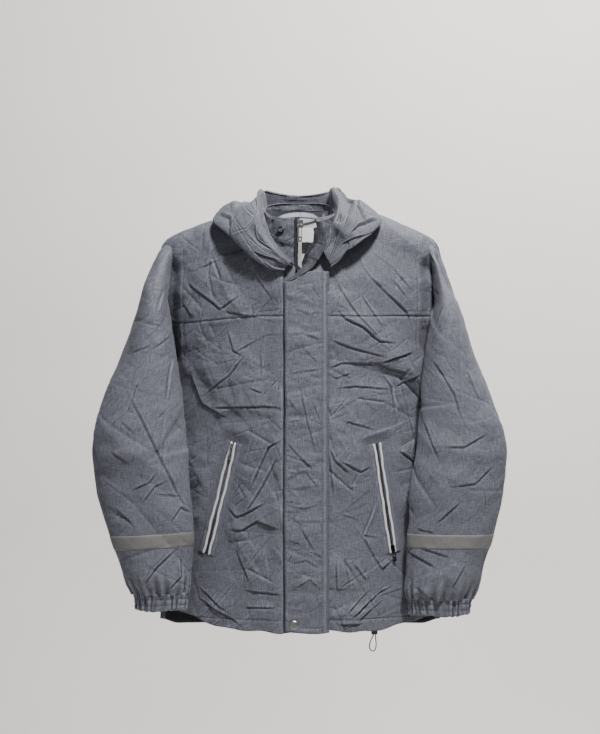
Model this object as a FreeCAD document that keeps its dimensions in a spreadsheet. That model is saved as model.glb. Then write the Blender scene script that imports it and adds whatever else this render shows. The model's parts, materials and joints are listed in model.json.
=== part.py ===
"""Hooded hardshell jacket, hanging from its neck loop.

Frame: millimetres, +Z up, the jacket's front faces -Y, the wearer's left is +X.
The origin is the middle of the hanger loop inside the back of the neck.

The cloth is a set of thin layers cut from one torso form and one sleeve form.
The torso form is a loft through flat levels, each level two arcs that meet at the side seams.
The hardware (sliders, pull tabs, snaps, tapes, coils) is drawn from the sheet's cells.
"""

import FreeCAD
import Part
import Sketcher
import math
import os

from FreeCAD import Placement, Rotation, Vector

DOC = FreeCAD.newDocument("hardshell_jacket")
SHEET = DOC.addObject("Spreadsheet::Sheet", "Dimensions")

# ---------------------------------------------------------------- driving dimensions

# Torso levels from hem to neck: height, half width, side seam depth, front and back bulge.
TORSO_LEVELS = {
    "hem": (-672, 226, -13, 102, 34),
    "waist": (-450, 222, -11, 104, 36),
    "armpit": (-270, 221, -13, 102, 36),
    "yoke": (-165, 240, -17, 98, 34),
    "chest": (-100, 238, -21, 94, 36),
    "tip": (-46, 232, -27, 70, 38),
    "slope": (-20, 160, -29, 55, 40),
    "nape": (5, 94, -31, 40, 42),
    "neck": (18, 60, -33, 26, 44),
}
TORSO_FIELDS = ("level", "half_width", "side_seam", "front_bulge", "back_bulge")

# Sleeve levels from shoulder to cuff: height, inner and outer reach from the middle, depth, half depth.
SLEEVE_LEVELS = {
    "cap": (-44, 196, 214, -31, 8),
    "head": (-52, 188, 232, -33, 22),
    "shoulder": (-90, 188, 246, -39, 36),
    "biceps": (-139, 188, 261, -45, 42),
    "underarm": (-219, 188, 282, -55, 44),
    "gusset": (-275, 186, 300, -67, 42),
    "upper_arm": (-299, 180, 307, -71, 40),
    "elbow": (-379, 168, 330, -81, 35),
    "forearm": (-459, 166, 321, -84, 33),
    "band": (-531, 165, 302, -84, 32),
    "wrist": (-587, 166, 280, -83, 30),
    "gather": (-612, 172, 268, -82, 25),
    "cuff": (-640, 176, 264, -81, 23),
}
SLEEVE_FIELDS = ("level", "inner_reach", "outer_reach", "centre", "half_depth")

CELLS = {
    # cloth layers, as depths below the outer face
    "shell_thickness": 2.0,
    "bag_depth": 2.2,
    "bag_thickness": 1.2,
    "lining_depth": 5.6,
    "lining_thickness": 1.0,
    "hem_facing_depth": 5.0,
    "hem_facing_top": -646,
    "lining_bottom": -640,
    "lining_front_edge": 24,
    "neck_facing_low": -16,
    "neck_facing_reach": 70,
    "neck_facing_front": -25,
    # neck and armholes
    "neck_centre": -52.5,
    "neck_half_width": 60,
    "neck_half_depth": 59.5,
    "armhole_reach": 206,
    "collar_thickness": 2.4,
    "collar_front_top": -2,
    "collar_back_top": 52,
    "collar_front_gap": 19,
    # front closure
    "front_edge": 8,
    "zip_plane": -111.6,
    "zip_bottom": -632,
    "zip_top": -8,
    "zip_left_top": -88,
    "zip_gap": 0.8,
    "coil_width": 2.4,
    "coil_thickness": 2.4,
    "lapel_coil_length": 34,
    "tape_width": 14.6,
    "tape_thickness": 0.8,
    "slider_rest": -17,
    "flap_seam": 40,
    "flap_width": 65,
    "flap_face": -121,
    "flap_thickness": 2.0,
    "flap_top": -111,
    "flap_strip_width": 4,
    "flap_strip_depth": 9.4,
    "flap_bottom": -671,
    "patch_width": 12,
    "patch_height": 30,
    "patch_thickness": 1.0,
    "patch_centre": -18,
    # snaps
    "snap_cap_radius": 7,
    "snap_stud_radius": 2.0,
    "snap_stud_height": 3.6,
    "snap_base_radius": 5.2,
    "snap_level": -658,
    "snap_offset": -9.5,
    "collar_snap_level": -26,
    "collar_snap_offset": -31,
    # slider and pull tabs
    "slider_half_width": 5.2,
    "slider_length": 12.5,
    "channel_half_width": 3.8,
    "channel_depth": 3.0,
    "plate_thickness": 1.35,
    "slit_height": 1.6,
    "bail_length": 8.8,
    "bail_height": 3.4,
    "bail_width": 1.6,
    "bail_bar": 1.2,
    "pull_axis_out": 3.95,
    "pull_axis_down": 0.9,
    "pull_thickness": 1.2,
    "main_pull_length": 28,
    "main_pull_width": 6.4,
    "pocket_pull_length": 21,
    "pocket_pull_width": 5.4,
    "pull_tape_length": 43,
    "pull_tape_width": 5.2,
    "pull_tape_thickness": 1.8,
    # pocket zips
    "pocket_scale": 0.75,
    "pocket_piping_width": 2.6,
    "pocket_piping_offset": 5.5,
    "pocket_slot_width": 14,
    "pocket_tape_width": 6.2,
    # labels and hanger loop
    "label_width": 58,
    "label_height": 24,
    "label_thickness": 0.6,
    "loop_span": 60,
    "loop_reach": 9.2,
    "loop_height": 8,
    "loop_thickness": 1.0,
    # sleeves
    "elbow_level": -392,
    "elbow_gap": 0.6,
    "reflective_top": -515,
    "reflective_height": 23,
    "cuff_top": -612,
    # hem cord
    "cord_diameter": 1.8,
    "cord_guide_reach": 120,
    "cord_guide_width": 10,
    "cord_guide_height": 4.6,
    "cord_guide_depth": 6,
    # hood
    "hood_thickness": 2.6,
}


def fill_sheet():
    """Writes every driving dimension into the sheet, one aliased cell each."""
    cells = dict(CELLS)
    for levels, fields, part in (
        (TORSO_LEVELS, TORSO_FIELDS, "torso"),
        (SLEEVE_LEVELS, SLEEVE_FIELDS, "sleeve"),
    ):
        for name, values in levels.items():
            for field, value in zip(fields, values):
                cells[f"{part}_{name}_{field}"] = value
    for row, (alias, value) in enumerate(cells.items(), 1):
        SHEET.set(f"A{row}", alias)
        SHEET.set(f"B{row}", str(value))
        SHEET.setAlias(f"B{row}", alias)
    DOC.recompute()


fill_sheet()
NODES = []


def dim(alias):
    """A driving dimension, as a plain number."""
    return float(SHEET.get(alias))


def node(obj, label):
    """Marks obj as one of the sub-parts that are written out, under that label."""
    obj.Label = label
    NODES.append(obj)
    return obj


def shape_node(label, shape, placement=None):
    """A sub-part whose shape no parametric feature makes."""
    feature = DOC.addObject("Part::Feature", label)
    feature.Shape = shape
    if placement is not None:
        feature.Placement = placement
    return node(feature, label)


def block(x_low, x_high, y_low, y_high, z_low, z_high):
    """A plain box between two corners, for cutting and keeping."""
    return Part.makeBox(x_high - x_low, y_high - y_low, z_high - z_low, Vector(x_low, y_low, z_low))


def mirrored(shape):
    """The same shape on the wearer's other side."""
    return shape.mirror(Vector(0, 0, 0), Vector(1, 0, 0))


def solids_of(shape):
    """One solid, or a compound of the separate ones."""
    return shape.Solids[0] if len(shape.Solids) == 1 else Part.makeCompound(shape.Solids)


# ---------------------------------------------------------------- the torso form

FAR = 1000.0


def two_arc_wire(height, half_width, side, front, back):
    """A flat level: a front arc and a back arc that meet at both side seams."""
    left, right = Vector(half_width, side, height), Vector(-half_width, side, height)
    front_arc = Part.Arc(left, Vector(0, side - front, height), right).toShape()
    back_arc = Part.Arc(right, Vector(0, side + back, height), left).toShape()
    return Part.Wire([front_arc, back_arc])


def torso_form(inset, below=0.0):
    """The torso as a solid, its faces inset by that much, and reaching that much below the hem."""
    wires = []
    for name in TORSO_LEVELS:
        height, half_width, side, front, back = (dim(f"torso_{name}_{f}") for f in TORSO_FIELDS)
        seam_angle = (math.atan(2 * front / half_width) + math.atan(2 * back / half_width)) / 2
        level = (half_width - inset / math.sin(seam_angle), side, front - inset, back - inset)
        if name == "hem" and below:
            wires.append(two_arc_wire(height - below, *level))
        wires.append(two_arc_wire(height, *level))
    return Part.makeLoft(wires, True, True)


def neck_cylinder(grow=0.0, low=-200.0, high=200.0):
    """An upright elliptical cylinder through the neck."""
    centre = Vector(0, dim("neck_centre"), low)
    across, deep = dim("neck_half_width") + grow, dim("neck_half_depth") + grow
    if across >= deep:
        curve = Part.Ellipse(centre, across, deep)
    else:
        curve = Part.Ellipse(centre + Vector(0, deep, 0), centre + Vector(across, 0, 0), centre)
    face = Part.Face(Part.Wire(curve.toShape()))
    return face.extrude(Vector(0, 0, high - low))


def armhole_blocks():
    """What is cut away outside the two armholes."""
    reach = dim("armhole_reach")
    low = dim("torso_armpit_level") + 1
    return [block(reach, FAR, -FAR, FAR, low, FAR), block(-FAR, -reach, -FAR, FAR, low, FAR)]


def torso_layer(depth, thickness):
    """One closed cloth layer of the torso, that deep below the outer face, open at hem, neck and armholes."""
    layer = torso_form(depth).cut(torso_form(depth + thickness, below=5))
    return layer.cut([neck_cylinder(), *armhole_blocks()])


SHELL = torso_layer(0, dim("shell_thickness"))
HEM, YOKE = dim("torso_hem_level"), dim("torso_yoke_level")
SIDE = dim("torso_waist_side_seam")
SEAM_GAP = 0.2  # between neighbouring panels, where the seam is
FRONT_EDGE = dim("front_edge")


def seam_surface_cut(shape, keep_front):
    """Parts the shell at the side seams and shoulder ridges. The seam follows the levels' own side depth."""
    names = list(TORSO_LEVELS)
    points = [Vector(0, dim(f"torso_{n}_side_seam"), dim(f"torso_{n}_level")) for n in names]
    points[0].z -= 20
    points[-1].z += 40
    far = -FAR if keep_front else FAR
    shift = -SEAM_GAP / 2 if keep_front else SEAM_GAP / 2
    outline = [p + Vector(-FAR, shift, 0) for p in points]
    outline += [Vector(-FAR, far, points[-1].z), Vector(-FAR, far, points[0].z), outline[0]]
    keeper = Part.Face(Part.makePolygon(outline)).extrude(Vector(2 * FAR, 0, 0))
    return shape.common(keeper)


FRONT_SHELL = seam_surface_cut(SHELL, True)
BACK_SHELL = seam_surface_cut(SHELL, False)


# ---------------------------------------------------------------- pocket lines

# Top and bottom ends of each pocket zip: across and up, on the torso's front face.
POCKET_ENDS = {"right": ((-107, -367), (-152, -549)), "left": ((124, -369), (151, -547))}


def front_face_depth(across, height):
    """How far forward the torso's front face is at that place."""
    names = list(TORSO_LEVELS)
    for low, high in zip(names, names[1:]):
        z_low, z_high = dim(f"torso_{low}_level"), dim(f"torso_{high}_level")
        if z_low <= height <= z_high:
            share = (height - z_low) / (z_high - z_low)
            depths = []
            for name in (low, high):
                half, side, front = (dim(f"torso_{name}_{f}") for f in TORSO_FIELDS[1:4])
                radius = (half * half + front * front) / (2 * front)
                depths.append(side - front + radius - math.sqrt(radius * radius - across * across))
            return depths[0] * (1 - share) + depths[1] * share
    raise ValueError("that height is outside the torso")


class PocketLine:
    """A pocket zip's own axes: down its length, out of the cloth, and across."""

    def __init__(self, side):
        (x_top, z_top), (x_low, z_low) = POCKET_ENDS[side]
        self.top = Vector(x_top, front_face_depth(x_top, z_top), z_top)
        self.bottom = Vector(x_low, front_face_depth(x_low, z_low), z_low)
        self.length = (self.bottom - self.top).Length
        self.down = (self.bottom - self.top).normalize()
        middle_x = (x_top + x_low) / 2
        step = 2.0
        middle_z = (z_top + z_low) / 2
        rise = front_face_depth(middle_x + step, middle_z) - front_face_depth(middle_x - step, middle_z)
        outward = Vector(rise / (2 * step), -1, 0)
        outward -= self.down * outward.dot(self.down)
        self.out = outward.normalize()
        self.across = (self.out * -1).cross(self.down * -1).normalize()

    def placement(self, along=0.0, out=0.0):
        """Where local -Z runs down the zip and local -Y points out of the cloth, that far down it."""
        matrix = FreeCAD.Matrix(
            self.across.x, -self.out.x, -self.down.x, 0,
            self.across.y, -self.out.y, -self.down.y, 0,
            self.across.z, -self.out.z, -self.down.z, 0,
            0, 0, 0, 1,
        )
        turn = Placement(matrix).Rotation
        return Placement(self.top + self.down * along + self.out * out, turn)


POCKETS = {side: PocketLine(side) for side in POCKET_ENDS}


def pocket_slot(line, margin=0.0):
    """The slot that a pocket zip lies in, cut through the cloth."""
    half = dim("pocket_slot_width") / 2 + margin
    slot = block(-half, half, -12, 8, -line.length - 2, 2)
    slot.Placement = line.placement()
    return slot


# ---------------------------------------------------------------- torso panels

def torso_panels():
    """Front panels, yokes and back, each its own piece of cloth."""
    sides = {"right": (-FAR, -FRONT_EDGE), "left": (FRONT_EDGE, FAR)}
    hem_snap = (-4.2, dim("zip_bottom") - 10)
    tape_reach = dim("zip_gap") + dim("coil_width") + dim("tape_width") + 0.4
    tape_slit = block(-tape_reach, tape_reach, dim("zip_plane") - 0.8, FAR, dim("torso_chest_level") - 4, 0)
    tape_slit = tape_slit.cut(block(-FAR, FAR, dim("zip_plane") + 1.2, 2 * FAR, -FAR, FAR))
    for side, (low, high) in sides.items():
        panel = FRONT_SHELL.common(block(low, high, -FAR, FAR, HEM, YOKE - SEAM_GAP))
        if side == "right":
            tab = FRONT_SHELL.common(block(-FRONT_EDGE - 1, hem_snap[0], -FAR, FAR, HEM, hem_snap[1]))
            panel = panel.fuse(tab).removeSplitter()
        panel = panel.cut(pocket_slot(POCKETS[side]))
        shape_node(f"{side}_front_panel", solids_of(panel))
        yoke = FRONT_SHELL.common(block(low, high, -FAR, FAR, YOKE, FAR)).cut(tape_slit)
        shape_node(f"{side}_front_yoke", solids_of(yoke))
    shape_node("back_panel", solids_of(BACK_SHELL.common(block(-FAR, FAR, -FAR, FAR, HEM, YOKE - SEAM_GAP))))
    shape_node("back_yoke", solids_of(BACK_SHELL.common(block(-FAR, FAR, -FAR, FAR, YOKE, FAR))))


def inner_layers():
    """The lining, the neck facing, the turned-up hem and the pocket bags."""
    lining = torso_layer(dim("lining_depth"), dim("lining_thickness"))
    facing_low, lining_edge = dim("neck_facing_low"), dim("lining_front_edge")
    body = lining.common(block(-FAR, FAR, -FAR, FAR, dim("lining_bottom"), facing_low - SEAM_GAP))
    shape_node("back_lining", solids_of(seam_surface_cut(body, False)))
    front = seam_surface_cut(body, True)
    shape_node("right_front_lining", solids_of(front.common(block(-FAR, -lining_edge, -FAR, FAR, -FAR, FAR))))
    shape_node("left_front_lining", solids_of(front.common(block(lining_edge, FAR, -FAR, FAR, -FAR, FAR))))
    reach, face = dim("neck_facing_reach"), dim("neck_facing_front")
    shape_node("neck_facing", solids_of(lining.common(block(-reach, reach, face, FAR, facing_low, FAR))))
    hem = torso_layer(dim("hem_facing_depth"), dim("lining_thickness"))
    hem = hem.common(block(-FAR, FAR, -FAR, FAR, HEM, dim("hem_facing_top")))
    shape_node("hem_facing", solids_of(hem.cut(block(-12, 12, -FAR, 0, -FAR, 0))))
    bag_layer = seam_surface_cut(torso_layer(dim("bag_depth"), dim("bag_thickness")), True)
    for side, line in POCKETS.items():
        sign = math.copysign(1, line.top.x)
        reach = sorted((sign * 62, sign * 178))
        bag = bag_layer.common(block(*reach, -FAR, FAR, line.bottom.z - 30, line.top.z + 18))
        shape_node(f"{side}_pocket_bag", solids_of(bag.cut(pocket_slot(line, margin=0.3))))


# ---------------------------------------------------------------- collar and lapel

def collar():
    """The stand-up collar: an elliptical band above the neckline, lower in front, open where the zip runs."""
    skin = 0.3  # clear of the neck edge
    band = neck_cylinder(-skin, -130, 70).cut(neck_cylinder(-skin - dim("collar_thickness"), -131, 71))
    band = band.cut(torso_form(0))
    low, high = dim("collar_front_top"), dim("collar_back_top")
    front_y = dim("neck_centre") - dim("neck_half_depth")
    back_y = dim("neck_centre") + dim("neck_half_depth")
    corners = [(front_y - 30, low - 12), (front_y + 20, low), (back_y - 40, high - 4), (back_y + 30, high)]
    outline = [Vector(-FAR, y, z) for y, z in corners]
    outline += [Vector(-FAR, back_y + 30, 200), Vector(-FAR, front_y - 30, 200), outline[0]]
    top = Part.Face(Part.makePolygon(outline)).extrude(Vector(2 * FAR, 0, 0))
    gap = dim("collar_front_gap")
    left_opening = Part.makePolygon([
        Vector(-gap, -FAR, -200), Vector(gap, -FAR, -200), Vector(gap + 2, -FAR, -96),
        Vector(gap + 22, -FAR, 20), Vector(-gap, -FAR, 20), Vector(-gap, -FAR, -200),
    ])
    front = Part.Face(left_opening).extrude(Vector(0, FAR + dim("neck_centre"), 0))
    shape_node("collar", solids_of(band.cut([top, front])))


def lapel():
    """The top of the left front, rolled open over the throat."""
    corners = [(27, -18), (38, -18), (42.5, -47), (19, -84), (-20, -109), (5, -90), (13, -57)]
    face_y = dim("flap_face") - dim("flap_thickness")
    outline = [Vector(x, face_y, z) for x, z in corners]
    plate = Part.Face(Part.makePolygon(outline + outline[:1]))
    shape_node("left_lapel", plate.extrude(Vector(0, dim("flap_thickness"), 0)))


# ---------------------------------------------------------------- hood

# The hood's folded side, from behind the ear to the throat: angle from the back,
# then radius and height of the roll at the collar, then of the fallen edge.
HOOD_STATIONS = [
    (64, 68, 50, 122, 8), (90, 70, 48, 141, -3), (118, 74, 14, 138, -36),
    (140, 78, -30, 116, -68), (156, 82, -62, 96, -92), (166, 84, -84, 90, -103),
]


def hood_strip(angle, roll_radius, roll_height, fall_radius, fall_height):
    """The hood cloth's edge-on outline at one angle around the neck."""
    turn = math.radians(angle)
    centre = Vector(0, dim("neck_centre") + 11, 0)
    outward = Vector(-math.sin(turn), math.cos(turn), 0)
    up = Vector(0, 0, dim("hood_thickness"))
    roll = centre + outward * roll_radius + Vector(0, 0, roll_height)
    fall = centre + outward * fall_radius + Vector(0, 0, fall_height)
    return Part.makePolygon([roll, fall, fall + up, roll + up, roll])


def hood():
    """Two side panels that fall over the shoulders, and the bag that hangs behind."""
    right = Part.makeLoft([hood_strip(*s) for s in HOOD_STATIONS], True, True)
    left = Part.makeLoft([hood_strip(*s) for s in HOOD_STATIONS[:4]], True, True)
    shape_node("hood_right_panel", right)
    shape_node("hood_left_panel", mirrored(left))
    bag_levels = [(44, 62, 26, 11), (10, 98, 33, 16), (-40, 118, 39, 21), (-90, 104, 41, 20), (-126, 70, 38, 13)]
    wall = 2.0

    def bag_form(inset, above):
        wires = []
        for height, half_width, middle, half_depth in bag_levels:
            tilt = math.atan(2 * half_depth / half_width)
            level = (half_width - inset / math.sin(tilt), middle, half_depth - inset, half_depth - inset)
            if height == bag_levels[0][0] and above:
                wires.append(two_arc_wire(height + above, *level))
            shift = inset if height == bag_levels[-1][0] else 0
            wires.append(two_arc_wire(height + shift, *level))
        return Part.makeLoft(wires, True, True)

    shape_node("hood_centre_panel", bag_form(0, 0).cut(bag_form(wall, 4)))


# ---------------------------------------------------------------- sleeves

def sleeve_form(inset, names, above=0.0, below=0.0):
    """The right sleeve as a solid between named levels, its faces inset by that much."""
    wires = []
    for name in names:
        height, inner, outer, centre, half_depth = (dim(f"sleeve_{name}_{f}") for f in SLEEVE_FIELDS)
        half = (outer - inner) / 2 - inset
        middle = Vector(-(outer + inner) / 2, centre, height)
        deep = max(half_depth - inset, 1.0)
        if half >= deep:
            curve = Part.Ellipse(middle, half, deep)
        else:
            curve = Part.Ellipse(middle + Vector(0, deep, 0), middle + Vector(half, 0, 0), middle)
        wire = Part.Wire(curve.toShape())
        if name == names[0] and above:
            wires.append(wire.translated(Vector(0, 0, above)))
        wires.append(wire)
        if name == names[-1] and below:
            wires.append(wire.translated(Vector(0, 0, -below)))
    return Part.makeLoft(wires, True, True)


LEVELS = list(SLEEVE_LEVELS)
UPPER, LOWER = LEVELS[: LEVELS.index("forearm") + 1], LEVELS[LEVELS.index("upper_arm"):]


def sleeves():
    """Upper and lower sleeve tubes, the reflective band, the cuff and its elastic, on both sides."""
    shell, elbow, gap = dim("shell_thickness"), dim("elbow_level"), dim("elbow_gap") / 2
    cuff_top, cuff_low = dim("cuff_top"), dim("sleeve_cuff_level")
    armhole = block(-dim("armhole_reach") - 0.4, FAR, -FAR, FAR, dim("sleeve_gusset_level") + 2, FAR)
    inner_top = [n for n in UPPER if n != "cap"]
    upper = sleeve_form(0, UPPER).cut(sleeve_form(shell, inner_top, below=5))
    upper = upper.cut([armhole, block(-FAR, FAR, -FAR, FAR, -FAR, elbow + gap)])
    lower = sleeve_form(0, LOWER).cut(sleeve_form(shell, LOWER, above=5, below=5))
    lower = lower.common(block(-FAR, FAR, -FAR, FAR, cuff_top + SEAM_GAP, elbow - gap))
    band_high = dim("reflective_top")
    band = sleeve_form(-0.7, LOWER).cut(sleeve_form(-0.1, LOWER, above=5, below=5))
    band = band.common(block(-FAR, FAR, -FAR, FAR, band_high - dim("reflective_height"), band_high))
    elastic_in, elastic_out, wall = 2.6, 1.6, 4.0
    cuff = sleeve_form(0, LOWER).cut(sleeve_form(wall, LOWER, above=5, below=5))
    cuff = cuff.common(block(-FAR, FAR, -FAR, FAR, cuff_low, cuff_top))
    channel = sleeve_form(elastic_out - 0.2, LOWER).cut(sleeve_form(elastic_in + 0.2, LOWER, above=5, below=5))
    cuff = cuff.cut(channel.common(block(-FAR, FAR, -FAR, FAR, cuff_low + 1.5, cuff_top + 1)))
    elastic = sleeve_form(elastic_out, LOWER).cut(sleeve_form(elastic_in, LOWER, above=5, below=5))
    elastic = elastic.common(block(-FAR, FAR, -FAR, FAR, cuff_low + 2, cuff_top - 2))
    pieces = {
        "upper_sleeve": upper, "lower_sleeve": lower, "reflective_band": band,
        "cuff": cuff, "cuff_elastic": elastic,
    }
    for name, shape in pieces.items():
        shape_node(f"right_{name}", solids_of(shape))
        shape_node(f"left_{name}", solids_of(mirrored(shape)))


# ---------------------------------------------------------------- parametric helpers

def cell(expression):
    """An expression with each bare alias written as a cell of the sheet."""
    words = sorted(CELLS, key=len, reverse=True)
    out, index = "", 0
    while index < len(expression):
        for word in words:
            if expression.startswith(word, index):
                out += f"Dimensions.{word}"
                index += len(word)
                break
        else:
            out += expression[index]
            index += 1
    return out


def sized_box(name, x, y, z):
    """A Part::Box bound to the sheet, from (low, size) expressions along each axis."""
    box = DOC.addObject("Part::Box", name)
    for field, axis, (low, size) in zip(("Length", "Width", "Height"), "xyz", (x, y, z)):
        box.setExpression(field, f"({cell(size)}) * 1mm")
        box.setExpression(f"Placement.Base.{axis}", f"({cell(low)}) * 1mm")
    return box


def group(label, members):
    """Several separate solids as one sub-part."""
    compound = DOC.addObject("Part::Compound", label)
    compound.Links = members
    return node(compound, label)


def origin_plane(body, role):
    """One of a body's own three origin planes."""
    return next(f for f in body.Origin.OriginFeatures if f.Role == role)


def sketch_on(body, name, role):
    """An empty sketch on one of the body's origin planes."""
    sketch = body.newObject("Sketcher::SketchObject", name)
    sketch.AttachmentSupport = (origin_plane(body, role), [""])
    sketch.MapMode = "FlatFace"
    return sketch


def polyline(sketch, points):
    """Closed straight lines through the points, joined end to end."""
    first = len(sketch.Geometry)
    count = len(points)
    for i in range(count):
        start, end = points[i], points[(i + 1) % count]
        sketch.addGeometry(Part.LineSegment(Vector(*start, 0), Vector(*end, 0)), False)
    for i in range(count):
        sketch.addConstraint(Sketcher.Constraint("Coincident", first + i, 2, first + (i + 1) % count, 1))


def revolved(label, profile, placement):
    """A PartDesign body turned about its own Z axis, from (radius, height) corners."""
    body = DOC.addObject("PartDesign::Body", label)
    sketch = sketch_on(body, f"{label}_profile", "XZ_Plane")
    polyline(sketch, profile)
    DOC.recompute()
    turned = body.newObject("PartDesign::Revolution", f"{label}_turn")
    turned.Profile = sketch
    turned.ReferenceAxis = (sketch, ["V_Axis"])
    turned.Angle = 360
    body.Tip = turned
    body.Placement = placement
    DOC.recompute()
    return body


# ---------------------------------------------------------------- front zip and flap

def front_zip():
    """The two coils and tapes, the stops, and the box and pin at the foot."""
    length = "zip_top - zip_bottom"
    left_length = "zip_left_top - zip_bottom"
    coil_y = ("zip_plane - coil_thickness / 2", "coil_thickness")
    tape_y = ("zip_plane - tape_thickness / 2", "tape_thickness")
    coil_x = "-zip_gap - coil_width"
    tape_x = "-zip_gap - coil_width - tape_width - 0.1"
    right_coil = sized_box("right_coil", (coil_x, "coil_width"), coil_y, ("zip_bottom", length))
    node(right_coil, "right_zip_coil")
    right_tape = sized_box("right_tape", (tape_x, "tape_width"), tape_y, ("zip_bottom", length))
    node(right_tape, "right_zip_tape")
    left_coil = sized_box("left_coil", ("zip_gap", "coil_width"), coil_y, ("zip_bottom", left_length))
    lapel_coil = DOC.addObject("Part::Box", "lapel_coil")
    for field, alias in (("Length", "coil_width"), ("Width", "coil_thickness"), ("Height", "lapel_coil_length")):
        lapel_coil.setExpression(field, f"Dimensions.{alias} * 1mm")
    front = dim("flap_face") - dim("flap_thickness") - dim("coil_thickness") - 0.2
    lapel_coil.Placement = Placement(Vector(14.5, front, -54), Rotation(Vector(0, 1, 0), 21))
    group("left_zip_coil", [left_coil, lapel_coil])
    left_tape = sized_box(
        "left_tape", ("zip_gap + coil_width + 0.1", "tape_width"), tape_y, ("zip_bottom", left_length))
    node(left_tape, "left_zip_tape")
    top_stop = sized_box(
        "top_stop", (f"{coil_x}", "coil_width"), coil_y, ("zip_top + 0.1", "2.4"))
    group("zip_top_stop", [top_stop])
    box_body = sized_box(
        "zip_box_body", ("-5", "9.2"), ("zip_plane - 2.4", "4.8"), ("zip_bottom - 8.2", "8"))
    pin = sized_box("zip_pin", ("4.5", "1.8"), coil_y, ("zip_bottom - 8.2", "8"))
    group("zip_box_and_pin", [box_body, pin])


def storm_flap():
    """The flap over the zip, its hook patches, and the loop patches that they meet on the right front."""
    body = DOC.addObject("PartDesign::Body", "storm_flap_body")
    sketch = sketch_on(body, "storm_flap_outline", "XZ_Plane")
    seam, width = dim("flap_seam"), dim("flap_width")
    low, high = dim("flap_bottom"), dim("flap_top")
    polyline(sketch, [(seam - width, low), (seam, low), (seam, high), (seam - width, high)])
    constrain = sketch.addConstraint
    names = ("flap_low", "flap_high", "flap_left", "flap_right")
    places = ((0, 1, "Y", low), (2, 1, "Y", high), (3, 1, "X", seam - width), (1, 1, "X", seam))
    constrain(Sketcher.Constraint("Horizontal", 0))
    constrain(Sketcher.Constraint("Vertical", 1))
    constrain(Sketcher.Constraint("Horizontal", 2))
    constrain(Sketcher.Constraint("Vertical", 3))
    expressions = ("flap_bottom", "flap_top", "flap_seam - flap_width", "flap_seam")
    for name, (edge, end, axis, value), expression in zip(names, places, expressions):
        index = constrain(Sketcher.Constraint(f"Distance{axis}", -1, 1, edge, end, value))
        sketch.renameConstraint(index, name)
        sketch.setExpression(f"Constraints.{name}", f"({cell(expression)}) * 1mm")
    DOC.recompute()
    pad = body.newObject("PartDesign::Pad", "storm_flap_pad")
    pad.Profile = sketch
    pad.setExpression("Length", "Dimensions.flap_thickness * 1mm")
    DOC.recompute()
    body.setExpression("Placement.Base.y", "Dimensions.flap_face * 1mm")
    DOC.recompute()
    if body.Shape.BoundBox.YMax > dim("flap_face") + 0.01:
        pad.Reversed = True
        DOC.recompute()
    node(body, "storm_flap")
    strip = sized_box(
        "seam_strip", ("flap_seam + 0.5", "flap_strip_width"),
        ("flap_face - flap_thickness", "flap_strip_depth"), ("flap_bottom", "flap_top - flap_bottom"))
    node(strip, "flap_seam_strip")
    levels = (-200, -340, -480)
    x_low = "patch_centre - patch_width / 2"
    hooks, loops = [], []
    for i, level in enumerate(levels):
        z = (f"{level}", "patch_height")
        hooks.append(sized_box(f"hook_{i}", (x_low, "patch_width"), ("flap_face + 0.1", "patch_thickness"), z))
        loop_y = "zip_plane - 3.2 - patch_thickness - 0.6"
        loops.append(sized_box(f"loop_{i}", (x_low, "patch_width"), (loop_y, "patch_thickness"), z))
    group("hook_patches", hooks)
    group("loop_patches", loops)


def snaps():
    """The hem snap's cap and socket on the flap, its stud on the right front, and the collar's ring stud."""
    cap, base = dim("snap_cap_radius"), dim("snap_base_radius")
    stud, tall = dim("snap_stud_radius"), dim("snap_stud_height")
    x, z = dim("snap_offset"), dim("snap_level")
    outward = Rotation(Vector(1, 0, 0), 90)  # local +Z to -Y, out of the front
    front = dim("flap_face") - dim("flap_thickness")
    cap_profile = [(0, 0), (cap, 0), (cap, 0.7), (cap - 1.2, 1.5), (0, 2.1)]
    cap_body = revolved("snap_cap", cap_profile, Placement(Vector(x, front - 0.1, z), outward))
    node(cap_body, "hem_snap_cap")
    bore = stud + 0.35
    socket_profile = [(bore, 0), (base, 0), (base, 1.2), (bore + 1.4, 2.2), (bore, 2.2)]
    inward = Rotation(Vector(1, 0, 0), -90)
    socket = revolved("snap_socket", socket_profile, Placement(Vector(x, dim("flap_face") + 0.1, z), inward))
    node(socket, "hem_snap_socket")
    face = dim("zip_plane") - 3.4 - 0.1
    stud_profile = [(0, 0), (base, 0), (base, 0.8), (stud, 0.8), (stud, 0.8 + tall), (0, 0.8 + tall)]
    node(revolved("hem_stud", stud_profile, Placement(Vector(x, face, z), outward)), "hem_snap_stud")
    across = dim("collar_snap_offset")
    half_width, half_depth = dim("neck_half_width") - 0.3, dim("neck_half_depth") - 0.3
    root = math.sqrt(1 - (across / half_width) ** 2)
    y = dim("neck_centre") - half_depth * root
    normal = Vector(across / half_width ** 2, -root / half_depth, 0).normalize()
    turn = Rotation(Vector(0, 0, 1), normal)
    place = Placement(Vector(across, y, dim("collar_snap_level")) + normal * 0.1, turn)
    node(revolved("collar_stud", stud_profile, place), "collar_snap_stud")


# ---------------------------------------------------------------- sliders and pull tabs

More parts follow.
